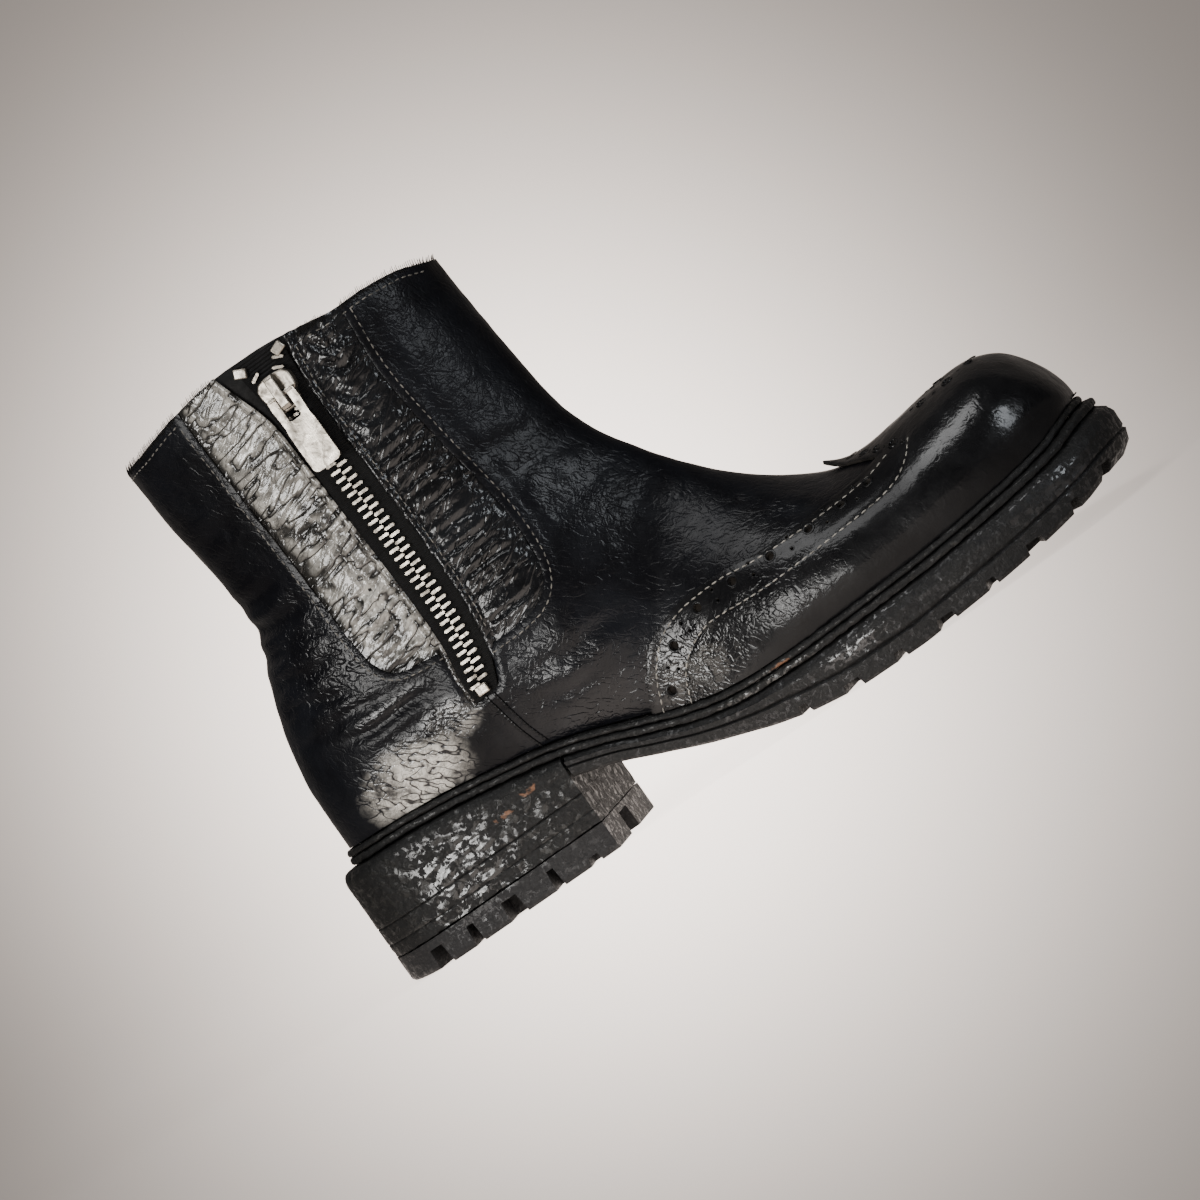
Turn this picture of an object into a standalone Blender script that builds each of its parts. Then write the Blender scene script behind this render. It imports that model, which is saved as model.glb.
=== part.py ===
"""Left brogue ankle boot with a side zip, standing empty on its sole.

Frame: +X points to the toe, +Y to the outer side of the foot, +Z up, metres.
The floor is Z = 0.  Tables are in millimetres: "s" is the distance forward of
the heel's back, "y" is measured from the heel's centre line.
"""
import math

import bmesh
import bpy
from mathutils import Matrix, Vector
from mathutils.bvhtree import BVHTree

MM = 0.001

# ---------------------------------------------------------------- main sizes
LENGTH = 307.0            # outsole, heel back to toe tip
MID_Y = 2.4               # middle of the sole's width, seen from the heel line
HEEL_LENGTH = 94.0        # heel block, back to breast
TOP_LIFT = 10.4           # height of the heel's top lift
WALL = 2.2                # leather and lining of the upper
OVERLAY = 1.3             # thickness of the wing cap
GAP = 0.3                 # clearance between pieces that are seated on each other
SEAT = 0.25               # the upper's lower edge above the feather line
WELT = 2.2
MIDSOLE = 2.6
INSOLE = 2.5
STRIP = 9.0               # width of the welt under the upper
RECESS = 0.9              # depth of the panels beside the zip
TOE_ROUND = 238.0         # where the plan outline starts to round to the toe
TOE_POWER = 2.2
HEEL_ROUND = 36.0         # where it starts to round to the heel's back
HEEL_POWER = 2.2
LUG_DEPTH = 3.0
LUG_PITCH = 18.6          # spacing of the gaps along the sole's edge
ZIP_TAPE = 16.0
ZIP_PITCH = 2.9
ZIP_TOOTH = 1.5
PULL_LENGTH = 28.5
PULL_WIDTH = 11.0

# Plan of the outsole: centre line and half width at stations along the boot.
PLAN = (
    {"s": 0.0, "centre": 0.0, "half": 35.0},
    {"s": 40.0, "centre": 0.0, "half": 35.2},
    {"s": 80.0, "centre": 0.8, "half": 34.9},
    {"s": 95.0, "centre": 1.8, "half": 34.4},
    {"s": 112.0, "centre": 3.2, "half": 34.4},
    {"s": 130.0, "centre": 4.8, "half": 38.0},
    {"s": 150.0, "centre": 5.2, "half": 44.2},
    {"s": 170.0, "centre": 4.4, "half": 49.7},
    {"s": 190.0, "centre": 3.2, "half": 52.7},
    {"s": 212.0, "centre": 1.8, "half": 53.0},
    {"s": 238.0, "centre": 0.0, "half": 50.6},
    {"s": 262.0, "centre": -1.8, "half": 50.0},
    {"s": 287.0, "centre": -4.2, "half": 50.0},
    {"s": 307.0, "centre": -5.5, "half": 50.0},
)

# How far each layer steps in from the outsole's edge, and how steeply the
# layers' tops fall outward.
STEPS = (
    {"s": 0.0, "feather": 8.3, "welt": 6.4, "midsole": 5.9, "fall": 0.05,
     "bevel": 0.8},
    {"s": 30.0, "feather": 6.2, "welt": 4.4, "midsole": 4.0, "fall": 0.05,
     "bevel": 0.8},
    {"s": 90.0, "feather": 5.4, "welt": 3.2, "midsole": 2.8, "fall": 0.08,
     "bevel": 1.0},
    {"s": 112.0, "feather": 5.2, "welt": 1.8, "midsole": 1.0, "fall": 0.10,
     "bevel": 1.0},
    {"s": 150.0, "feather": 5.6, "welt": 2.2, "midsole": 1.2, "fall": 0.10,
     "bevel": 1.0},
    {"s": 200.0, "feather": 6.2, "welt": 2.6, "midsole": 1.4, "fall": 0.12,
     "bevel": 1.0},
    {"s": 250.0, "feather": 7.0, "welt": 3.6, "midsole": 1.8, "fall": 0.15,
     "bevel": 1.4},
    {"s": 285.0, "feather": 8.4, "welt": 5.4, "midsole": 2.9, "fall": 0.16,
     "bevel": 3.0},
    {"s": 307.0, "feather": 9.2, "welt": 6.3, "midsole": 3.2, "fall": 0.15,
     "bevel": 5.2},
)

# Side view: the feather line, where the upper meets the welt, and the tread.
RISE = (
    {"s": 8.0, "feather": 50.2, "tread": 36.0},
    {"s": 30.0, "feather": 50.0, "tread": 35.0},
    {"s": 50.0, "feather": 48.5, "tread": 33.5},
    {"s": 70.0, "feather": 45.8, "tread": 31.8},
    {"s": 90.0, "feather": 42.3, "tread": 28.9},
    {"s": 105.0, "feather": 38.3, "tread": 24.8},
    {"s": 125.0, "feather": 31.2, "tread": 17.5},
    {"s": 140.0, "feather": 26.6, "tread": 12.1},
    {"s": 155.0, "feather": 23.6, "tread": 7.7},
    {"s": 168.0, "feather": 22.7, "tread": 4.2},
    {"s": 182.0, "feather": 22.7, "tread": 1.6},
    {"s": 200.0, "feather": 23.3, "tread": 0.0},
    {"s": 218.0, "feather": 24.1, "tread": 0.0},
    {"s": 232.0, "feather": 24.8, "tread": 1.0},
    {"s": 250.0, "feather": 26.4, "tread": 2.5},
    {"s": 270.0, "feather": 28.8, "tread": 4.9},
    {"s": 284.0, "feather": 31.2, "tread": 7.4},
    {"s": 298.0, "feather": 35.6, "tread": 11.0},
)

# Sections of the upper, toe to ankle.  Each runs from a point on the front
# line (the vamp's ridge, then the shin) to a station on the feather line.  The
# widest place lies at "widest" of the way; its half width is
# share * feather half width + inner or outer.
SECTIONS = (
    {"front": (297.8, 35.6), "end": 307.0, "share": 1.0, "inner": 0.8, "outer": 0.8,
     "widest": 0.60, "crown": 0.00, "ridge": -5.5},
    {"front": (296.7, 43.0), "end": 303.6, "share": 1.0, "inner": 1.0, "outer": 1.0,
     "widest": 0.62, "crown": 0.00, "ridge": -5.4},
    {"front": (292.9, 52.0), "end": 298.8, "share": 1.0, "inner": 1.2, "outer": 1.2,
     "widest": 0.66, "crown": 0.00, "ridge": -5.2},
    {"front": (286.0, 60.0), "end": 291.0, "share": 1.0, "inner": 1.4, "outer": 1.4,
     "widest": 0.70, "crown": 0.00, "ridge": -4.8},
    {"front": (276.0, 63.9), "end": 280.0, "share": 1.0, "inner": 1.6, "outer": 1.6,
     "widest": 0.74, "crown": -0.02, "ridge": -4.2},
    {"front": (261.0, 63.2), "end": 263.5, "share": 1.0, "inner": 1.8, "outer": 1.8,
     "widest": 0.76, "crown": 0.02, "ridge": -3.4},
    {"front": (246.0, 61.1), "end": 246.5, "share": 1.0, "inner": 1.8, "outer": 1.8,
     "widest": 0.76, "crown": 0.08, "ridge": -2.6},
    {"front": (232.0, 59.7), "end": 230.0, "share": 1.0, "inner": 1.8, "outer": 1.8,
     "widest": 0.76, "crown": 0.14, "ridge": -2.0},
    {"front": (218.5, 61.9), "end": 212.0, "share": 1.0, "inner": 1.8, "outer": 1.8,
     "widest": 0.77, "crown": 0.22, "ridge": -1.4},
    {"front": (204.0, 70.0), "end": 190.5, "share": 1.0, "inner": 1.7, "outer": 1.7,
     "widest": 0.78, "crown": 0.30, "ridge": -0.8},
    {"front": (189.5, 81.7), "end": 166.0, "share": 1.0, "inner": 1.5, "outer": 1.5,
     "widest": 0.78, "crown": 0.38, "ridge": -0.3},
    {"front": (175.5, 97.6), "end": 138.0, "share": 1.0, "inner": 1.4, "outer": 1.4,
     "widest": 0.76, "crown": 0.42, "ridge": 0.0},
    {"front": (165.0, 112.8), "end": 106.0, "share": 0.7, "inner": 13.2, "outer": 12.2,
     "widest": 0.72, "crown": 0.40, "ridge": 0.0},
    {"front": (158.6, 126.8), "end": 62.0, "share": 0.5, "inner": 20.0, "outer": 20.0,
     "widest": 0.60, "crown": 0.34, "ridge": 0.0},
    {"front": (156.3, 136.0), "end": 0.0, "share": 0.5, "inner": 20.0, "outer": 20.0,
     "widest": 0.50, "crown": 0.30, "ridge": 0.0},
)
SHIN = ((155.0, 146.0), (153.9, 157.0), (152.8, 168.0), (151.9, 178.5), (151.1, 188.0),
        (150.8, 195.5))
COLLAR_T = 20.0           # the collar, counting sections and shin points from the toe
FAN_END = 12.8            # the last section that ends on the feather line

# The heel's back and the back of the shaft, how far the sides take to round
# into it, the half widths of the sides, and how pointed the front is.
BACK = (
    {"z": 50.2, "s": 8.3, "round": 38.0, "inner": 34.2, "outer": 34.6, "crown": 0.42},
    {"z": 72.0, "s": 8.7, "round": 42.0, "inner": 34.4, "outer": 34.8, "crown": 0.42},
    {"z": 88.0, "s": 11.0, "round": 46.0, "inner": 34.3, "outer": 34.7, "crown": 0.42},
    {"z": 102.5, "s": 15.6, "round": 50.0, "inner": 34.2, "outer": 34.6, "crown": 0.41},
    {"z": 116.0, "s": 21.2, "round": 54.0, "inner": 34.3, "outer": 34.7, "crown": 0.38},
    {"z": 127.0, "s": 25.6, "round": 58.0, "inner": 34.5, "outer": 34.9, "crown": 0.34},
    {"z": 138.0, "s": 26.3, "round": 60.0, "inner": 34.9, "outer": 35.3, "crown": 0.29},
    {"z": 150.0, "s": 25.6, "round": 62.0, "inner": 35.4, "outer": 35.8, "crown": 0.23},
    {"z": 174.5, "s": 22.6, "round": 62.0, "inner": 36.6, "outer": 37.0, "crown": 0.12},
    {"z": 204.0, "s": 20.7, "round": 62.0, "inner": 38.2, "outer": 38.6, "crown": 0.04},
)
BACK_POWER = 2.2
BACK_SPLIT = 112.0        # height on the back that the section at FAN_END aims at
BACK_TOP = 198.0
SHIN_DEPTH = 64.0         # from the front line square back to the full width
COUNTER = 27.0            # height over which the heel's sides bulge from the welt

# Side view of the wing cap's upper edge, from the welt to the notch beside
# the vamp, and its centre peak seen from above.
WING = (
    {"s": 125.5, "z": 24.0}, {"s": 128.0, "z": 29.5}, {"s": 131.6, "z": 36.5},
    {"s": 135.8, "z": 43.0}, {"s": 140.6, "z": 48.2}, {"s": 146.5, "z": 51.8},
    {"s": 158.0, "z": 54.8}, {"s": 170.0, "z": 55.3}, {"s": 180.0, "z": 54.6},
    {"s": 189.0, "z": 53.4}, {"s": 208.0, "z": 53.1}, {"s": 224.0, "z": 53.9},
    {"s": 235.0, "z": 55.2}, {"s": 242.5, "z": 57.2},
)
WING_PEAK = {"tip_s": 217.5, "tip_y": -1.4, "base_s": 244.0, "half": 27.0}

# Side view of the panel beside the zip: its rear, lower and front edges.
PANEL = (
    {"s": 57.0, "z": 216.0}, {"s": 57.0, "z": 180.0}, {"s": 57.6, "z": 155.0},
    {"s": 58.6, "z": 128.0}, {"s": 59.8, "z": 104.0}, {"s": 61.6, "z": 95.6},
    {"s": 65.0, "z": 90.8}, {"s": 71.0, "z": 88.5}, {"s": 82.0, "z": 87.3},
)
PANEL_ZIP_END = (
    {"s": 82.4, "z": 79.0}, {"s": 81.2, "z": 67.0}, {"s": 93.4, "z": 67.0},
)
PANEL_FRONT = (
    {"s": 98.5, "z": 79.6}, {"s": 112.0, "z": 79.9}, {"s": 120.5, "z": 82.1},
    {"s": 125.2, "z": 86.7}, {"s": 127.6, "z": 94.0}, {"s": 127.9, "z": 106.0},
    {"s": 126.6, "z": 121.0}, {"s": 123.6, "z": 141.0}, {"s": 121.2, "z": 163.0},
    {"s": 120.6, "z": 178.0}, {"s": 122.0, "z": 194.0}, {"s": 124.4, "z": 216.0},
)

# Centre line of the zip, seen from the side.
ZIP_LINE = (
    {"z": 66.0, "s": 87.0}, {"z": 74.0, "s": 88.8}, {"z": 82.0, "s": 90.7},
    {"z": 91.0, "s": 92.0}, {"z": 104.0, "s": 92.6}, {"z": 122.0, "s": 92.5},
    {"z": 160.0, "s": 91.9}, {"z": 206.0, "s": 91.6},
)
ZIP_SPAN = {"tape_low": 67.6, "tape_high": 203.0, "teeth_low": 70.5, "teeth_high": 201.5}
SLIDER = {"low": 180.6, "high": 193.6, "width": 13.4, "pivot": 186.2}

# Gaps in the top lift's edge, the same on both sides.
LIFT_NOTCHES = (
    {"s": 21.5, "width": 5.6, "height": 7.3}, {"s": 36.5, "width": 2.6, "height": 7.3},
    {"s": 52.8, "width": 6.0, "height": 7.3}, {"s": 70.0, "width": 2.6, "height": 7.3},
    {"s": 84.8, "width": 3.4, "height": 3.0},
)
COLLAR_ARCH = 7.0         # how far the collar's sides rise above its ends
COLUMNS = 9               # facets from the front line to the feather line
ACROSS = 10               # facets from the front line to the back line


# ------------------------------------------------------------ tables, curves
def blend(table, s, name):
    """Smooth value of a column at station s."""
    rows = table
    if s <= rows[0]["s"]:
        return rows[0][name]
    if s >= rows[-1]["s"]:
        return rows[-1][name]
    i = max(k for k in range(len(rows) - 1) if rows[k]["s"] <= s)

    def slope(k):
        if k == 0 or k == len(rows) - 1:
            return 0.0
        a = (rows[k][name] - rows[k - 1][name]) / (rows[k]["s"] - rows[k - 1]["s"])
        b = (rows[k + 1][name] - rows[k][name]) / (rows[k + 1]["s"] - rows[k]["s"])
        return 0.0 if a * b <= 0.0 else 2.0 * a * b / (a + b)

    width = rows[i + 1]["s"] - rows[i]["s"]
    f = (s - rows[i]["s"]) / width
    h0 = (1.0 + 2.0 * f) * (1.0 - f) ** 2
    h1 = f * (1.0 - f) ** 2
    h2 = f * f * (3.0 - 2.0 * f)
    h3 = f * f * (f - 1.0)
    return (h0 * rows[i][name] + h1 * width * slope(i)
            + h2 * rows[i + 1][name] + h3 * width * slope(i + 1))


def through(values, t):
    """Catmull-Rom curve through equally spaced values."""
    last = len(values) - 1
    i = min(int(t), last - 1)
    f = t - i
    b, c = values[i], values[i + 1]
    a = values[i - 1] if i > 0 else 2.0 * b - c
    d = values[i + 2] if i + 2 <= last else 2.0 * c - b
    return 0.5 * (2.0 * b + (c - a) * f + (2.0 * a - 5.0 * b + 4.0 * c - d) * f * f
                  + (3.0 * b - a - 3.0 * c + d) * f ** 3)


def world(s, y, z):
    return Vector(((s - 0.5 * LENGTH) * MM, (y - MID_Y) * MM, z * MM))


# ------------------------------------------------------------- plan outlines
def edge_point(turn):
    """Point on the outsole's edge.  turn 0 is the toe tip, pi the heel's back;
    between them runs the inner side, and past pi the outer side."""
    s = 0.5 * LENGTH * (1.0 + math.cos(turn))
    side = -1.0 if turn <= math.pi else 1.0
    half = blend(PLAN, s, "half")
    if s > TOE_ROUND:
        along = min((s - TOE_ROUND) / (LENGTH - TOE_ROUND), 1.0)
        half *= (1.0 - along ** TOE_POWER) ** (1.0 / TOE_POWER)
    if s < HEEL_ROUND:
        along = min((HEEL_ROUND - s) / HEEL_ROUND, 1.0)
        half *= (1.0 - along ** HEEL_POWER) ** (1.0 / HEEL_POWER)
    return s, blend(PLAN, s, "centre") + side * half


def rim_point(turn, inset):
    """Point that lies inset millimetres inside the outsole's edge."""
    step = 0.02
    s, y = edge_point(turn)
    if inset == 0.0:
        return s, y
    s0, y0 = edge_point((turn - step) % (2.0 * math.pi))
    s1, y1 = edge_point((turn + step) % (2.0 * math.pi))
    ds, dy = s1 - s0, y1 - y0
    size = math.hypot(ds, dy)
    return s + inset * dy / size, y - inset * ds / size


def turn_at(station):
    return math.acos(max(-1.0, min(1.0, 2.0 * station / LENGTH - 1.0)))


def layer_inset(turn, name):
    return blend(STEPS, edge_point(turn)[0], name)


def feather(turn):
    """Where the upper's outer face meets the welt: s, y, z."""
    s, y = rim_point(turn, layer_inset(turn, "feather"))
    return s, y, blend(RISE, s, "feather")


def tread_height(turn):
    return blend(RISE, rim_point(turn, layer_inset(turn, "feather"))[0], "tread")


# ------------------------------------------------------- the upper's surface
def end_station(t):
    """Turn along the feather line where section t ends."""
    return through([turn_at(row["end"]) for row in SECTIONS], t)


def column(t, name):
    return through([row[name] for row in SECTIONS], t)


def front_point(t):
    points = [row["front"] for row in SECTIONS] + list(SHIN)
    return through([p[0] for p in points], t), through([p[1] for p in points], t)


FRONT_LINE = [front_point(9.0 + 0.1 * k) for k in range(121)]
BACK_ROWS = [{"s": row["z"], "line": row["s"], "round": row["round"], "crown": row["crown"],
              "inner": row["inner"], "outer": row["outer"]} for row in BACK]


def back_line(z):
    return blend(BACK_ROWS, z, "line")


def feather_side(side):
    """Rear part of the feather line on one side: rows of s, y and z."""
    rows = []
    for k in range(241):
        turn = turn_at(190.0) + (math.pi - turn_at(190.0)) * k / 240.0
        s, y, z = feather(turn if side < 0 else 2.0 * math.pi - turn)
        rows.append({"s": s, "y": abs(y), "z": z})
    return sorted(rows, key=lambda row: row["s"])


FEATHER_SIDES = {side: feather_side(side) for side in (-1, 1)}


def feather_beside(side, s):
    """Half width and height of the feather line at station s."""
    rows = FEATHER_SIDES[side]
    if s <= rows[0]["s"]:
        return 0.0, rows[0]["z"]
    low, high = 0, len(rows) - 1
    while high - low > 1:
        mid = (low + high) // 2
        if rows[mid]["s"] <= s:
            low = mid
        else:
            high = mid
    f = min(1.0, (s - rows[low]["s"]) / max(rows[high]["s"] - rows[low]["s"], 1e-6))
    return tuple(rows[low][key] + (rows[high][key] - rows[low][key]) * f for key in "yz")


def front_share(s, z):
    """Share of the full half width at a place, from its distance behind the
    front line."""
    k = min(range(len(FRONT_LINE)),
            key=lambda n: (FRONT_LINE[n][0] - s) ** 2 + (FRONT_LINE[n][1] - z) ** 2)
    low, high = FRONT_LINE[max(k - 1, 0)], FRONT_LINE[min(k + 1, len(FRONT_LINE) - 1)]
    ds, dz = high[0] - low[0], high[1] - low[1]
    deep = ((FRONT_LINE[k][0] - s) * dz - (FRONT_LINE[k][1] - z) * ds) / math.hypot(ds, dz)
    a = math.acos(max(0.0, min(1.0, 1.0 - deep / SHIN_DEPTH)))
    return math.sin(a) * (1.0 - blend(BACK_ROWS, z, "crown") * math.cos(a) ** 2)


def rear_width(side, s, z):
    """Half width behind the instep: full on the sides, rounded to the front line
    and to the back, and drawn in to the welt below."""
    reach = (s - back_line(z)) / blend(BACK_ROWS, z, "round")
    miss = 1.0 - max(0.0, min(1.0, reach))
    full = front_share(s, z) * blend(BACK_ROWS, z, "inner" if side < 0 else "outer")
    full *= (1.0 - miss ** BACK_POWER) ** (1.0 / BACK_POWER)
    low_y, low_z = feather_beside(side, s)
    rise = max(0.0, min(1.0, (z - low_z - SEAT) / COUNTER))
    return low_y + (full - low_y) * (1.0 - (1.0 - rise) ** 2.4)


def arc(t, side, count, split=0.62):
    """Points (s, y, z) of one half of section t, from the front line to the feather."""
    s0, z0 = front_point(t)
    ridge = column(t, "ridge")
    turn = end_station(t)
    s1, y1, z1 = feather(turn if side < 0 else 2.0 * math.pi - turn)
    z1 += SEAT
    reach = abs(y1 - ridge)
    half = column(t, "share") * reach + min(1.0, t) * column(t, "inner" if side < 0 else "outer")
    half = max(half, 0.001)
    widest = column(t, "widest")
    crown = column(t, "crown")
    last = math.acos(min(reach / half, 0.9995))
    rear = max(0.0, min(1.0, (t - 10.4) / (FAN_END - 10.4)))
    rear = rear * rear * (3.0 - 2.0 * rear)
    points = []
    for k in range(count + 1):
        q = k / count
        if q <= split:
            a = 0.5 * math.pi * q / split
            along = widest * (1.0 - math.cos(a))
            out = math.sin(a) * (1.0 - crown * math.cos(a) ** 2)
        else:
            a = last * (q - split) / (1.0 - split)
            along = widest + (1.0 - widest) * math.sin(a) / math.sin(last)
            out = math.cos(a)
        s, z = s0 + (s1 - s0) * along, z0 + (z1 - z0) * along
        width = half * out
        if rear > 0.0 and 0 < k < count:
            width += rear * (rear_width(side, s, z) - width)
        points.append((s, ridge + side * width, z))
    return points


def rear_rows(side, count, across, levels):
    """Rows round one side of the heel and shaft.  The lower ones start on the last
    section and the others on the shin; all end on the back line."""
    edge = arc(FAN_END, side, count)
    low_z = feather(math.pi)[2] + SEAT
    starts = []
    for k in range(count + 1):
        share = k / count
        starts.append((edge[count - k], low_z + (BACK_SPLIT - low_z) * share, share, 0.0))
    for t in levels:
        s, z = front_point(t)
        climb = (t - FAN_END) / (COLLAR_T - FAN_END)
        lift = COLLAR_ARCH * max(0.0, (t - 17.0) / 3.0) ** 1.5
        starts.append(((s, 0.0, z), BACK_SPLIT + (BACK_TOP - BACK_SPLIT) * climb, 1.0, lift))
    end_s, _, end_z = edge[count]
    slope = (end_z - low_z) / (end_s - back_line(low_z))
    rows = []
    for (s0, y0, z0), back_z, share, lift in starts:
        s1 = back_line(back_z)
        row = [(s0, y0, z0)]
        for k in range(1, across + 1):
            w = k / across
            f = share * 0.5 * (1.0 - math.cos(math.pi * w))
            f += (1.0 - share) * math.sin(0.5 * math.pi * w)
            s, z = s0 + (s1 - s0) * f, z0 + (back_z - z0) * f
            if s < end_s:
                sag = feather_beside(side, s)[1] + SEAT - end_z + slope * (end_s - s)
                z += sag * (1.0 - share) ** 2
            width = rear_width(side, s, z) if k < across else 0.0
            row.append((s, side * width, z + lift * math.sin(math.pi * f) ** 2))
        rows.append(row)
    return rows


def toe_edge(side, count):
    """Points on the feather line at the toe tip, below the first section."""
    limit = end_station(0.25)
    points = []
    for k in range(count + 1):
        turn = limit * math.sin(0.5 * math.pi * k / count)
        s, y, z = feather(turn if side < 0 else 2.0 * math.pi - turn)
        points.append((s, y, z + SEAT))
    return points


# --------------------------------------------------------- making the pieces
parts = None
cutters = None


def material(name, colour, roughness, metallic=0.0):
    mat = bpy.data.materials.new(name)
    mat.use_nodes = True
    shader = mat.node_tree.nodes["Principled BSDF"]
    shader.inputs["Base Color"].default_value = (*colour, 1.0)
    shader.inputs["Roughness"].default_value = roughness
    shader.inputs["Metallic"].default_value = metallic
    mat.diffuse_color = (*colour, 1.0)
    return mat


def new_object(name, bm, mat=None, smooth=False):
    """Turn a bmesh into an object among the parts, or among the cutters."""
    bmesh.ops.recalc_face_normals(bm, faces=bm.faces)
    mesh = bpy.data.meshes.new(name)
    bm.to_mesh(mesh)
    bm.free()
    obj = bpy.data.objects.new(name, mesh)
    if mat is None:
        cutters.objects.link(obj)
        obj.hide_render = True
        obj.display_type = "WIRE"
        return obj
    parts.objects.link(obj)
    mesh.materials.append(mat)
    if smooth:
        mesh.shade_smooth()
        mesh.set_sharp_from_angle(angle=math.radians(35.0))
    return obj


def cut(obj, cutter, operation="DIFFERENCE"):
    mod = obj.modifiers.new(cutter.name, "BOOLEAN")
    mod.operation = operation
    mod.object = cutter
    mod.solver = "EXACT"


def thicken(obj, thickness, offset):
    mod = obj.modifiers.new("wall", "SOLIDIFY")
    mod.thickness = thickness * MM
    mod.offset = offset
    mod.use_rim = True


def cap(bm, loop, round_end):
    """Close a loop with strips that run straight across the boot."""
    count = len(loop)
    if round_end:
        pairs = [(k, (count - k) % count) for k in range(count // 2 + 1)]
    else:
        pairs = [(k, count - 1 - k) for k in range((count + 1) // 2)]
    for (a, b), (c, d) in zip(pairs, pairs[1:]):
        corners = []
        for index in (a, c, d, b):
            if loop[index] not in corners:
                corners.append(loop[index])
        if len(corners) > 2:
            bm.faces.new(corners)


def stack(loops, round_end=True, ring=False):
    """Solid through closed loops of equal length: capped, or closed as a ring."""
    bm = bmesh.new()
    rows = [[bm.verts.new(world(*p)) for p in loop] for loop in loops]
    pairs = list(zip(rows, rows[1:]))
    if ring:
        pairs.append((rows[-1], rows[0]))
    for lower, upper_row in pairs:
        count = len(lower)
        for k in range(count):
            n = (k + 1) % count
            bm.faces.new((lower[k], lower[n], upper_row[n], upper_row[k]))
    if not ring:
        cap(bm, rows[0], round_end)
        cap(bm, rows[-1], round_end)
    return bm


def layer_point(turn, inset, below):
    """Point inset from the sole's edge and below the feather line's level."""
    s, y = rim_point(turn, inset)
    out = layer_inset(turn, "feather") - inset
    if out < 0.0:
        return s, y, blend(RISE, s, "feather") - below
    return s, y, feather(turn)[2] - layer_inset(turn, "fall") * out - below


def paced_turns(first, last, count):
    """Turns from first to last, paced half by angle and half by distance."""
    fine = 600
    turns = [first + (last - first) * k / fine for k in range(fine + 1)]
    spots = [edge_point(a) for a in turns]
    length = [0.0]
    for p, q in zip(spots, spots[1:]):
        length.append(length[-1] + math.hypot(q[0] - p[0], q[1] - p[1]))
    score = [0.5 * k / fine + 0.5 * length[k] / length[-1] for k in range(fine + 1)]
    found = []
    k = 0
    for i in range(count):
        goal = i / (count - 1)
        while k < fine - 1 and score[k + 1] < goal:
            k += 1
        f = (goal - score[k]) / (score[k + 1] - score[k])
        found.append(turns[k] + (turns[k + 1] - turns[k]) * min(1.0, max(0.0, f)))
    return found


def full_turns(count):
    """Round the whole sole from the toe tip, alike on both sides."""
    inner = paced_turns(0.0, math.pi, count // 2 + 1)
    return inner + [2.0 * math.pi - a for a in inner[-2:0:-1]]


def fore_turns(count, start):
    """From the inner side at station start, round the toe, to the outer side."""
    inner = paced_turns(0.0, turn_at(start), count // 2 + 1)
    return inner[:0:-1] + [0.0] + [2.0 * math.pi - a for a in inner[1:]]


def heel_turns(count, end):
    """From the inner side at station end, round the heel, to the outer side."""
    inner = paced_turns(turn_at(end), math.pi, count // 2 + 1)
    return inner + [2.0 * math.pi - a for a in inner[-2::-1]]


def square_ends(loop, station):
    """Bring a loop's two open ends onto one flat cross plane."""
    loop[0] = (station, loop[0][1], loop[0][2])
    loop[-1] = (station, loop[-1][1], loop[-1][2])
    return loop


# ----------------------------------------------------------------- the skin
def section_steps():
    toe = [0.0, 0.5, 0.8, 1.1, 1.5]
    vamp = [2.0 + 0.7 * k for k in range(13)]
    return toe + vamp + [11.0, 11.6, 12.2, FAN_END]


SHAFT_LEVELS = [13.7, 14.8, 15.9, 17.0, 18.0, 19.0, COLLAR_T]


def skin(steps, count, sides=(-1, 1), levels=()):
    """Open outer face of the upper through the given sections, and the heel and
    shaft up to the given levels."""
    bm = bmesh.new()
    grids = []
    for side in sides:
        grids.append([arc(t, side, count) if t > 0.0 else toe_edge(side, count) for t in steps])
        if levels:
            grids.append(rear_rows(side, count, ACROSS, levels))
    for grid in grids:
        rows = [[bm.verts.new(world(*p)) for p in line] for line in grid]
        for low, high in zip(rows, rows[1:]):
            for k in range(len(low) - 1):
                bm.faces.new((low[k], low[k + 1], high[k + 1], high[k]))
    bmesh.ops.remove_doubles(bm, verts=bm.verts, dist=0.00002)
    bmesh.ops.dissolve_degenerate(bm, edges=bm.edges, dist=0.00002)
    bmesh.ops.triangulate(bm, faces=bm.faces, quad_method="SHORT_EDGE")
    return bm


def outward(bm):
    """Point the faces of an open skin away from the inside of the boot."""
    bmesh.ops.recalc_face_normals(bm, faces=bm.faces)
    bm.faces.ensure_lookup_table()
    middle = world(100.0, 0.0, 90.0)
    score = sum((f.calc_center_median() - middle).dot(f.normal) * f.calc_area() for f in bm.faces)
    if score < 0.0:
        bmesh.ops.reverse_faces(bm, faces=bm.faces)
    bm.normal_update()


def lifted(bm, lift):
    outward(bm)
    shifts = [(v, v.normal * lift * MM) for v in bm.verts]
    for v, shift in shifts:
        v.co += shift


def skin_object(name, bm, mat=None):
    """Object whose faces keep the direction that outward() gave them."""
    mesh = bpy.data.meshes.new(name)
    bm.to_mesh(mesh)
    bm.free()
    obj = bpy.data.objects.new(name, mesh)
    if mat is None:
        cutters.objects.link(obj)
        obj.hide_render = True
        obj.display_type = "WIRE"
    else:
        parts.objects.link(obj)
        mesh.materials.append(mat)
        mesh.shade_smooth()
    return obj


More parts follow.
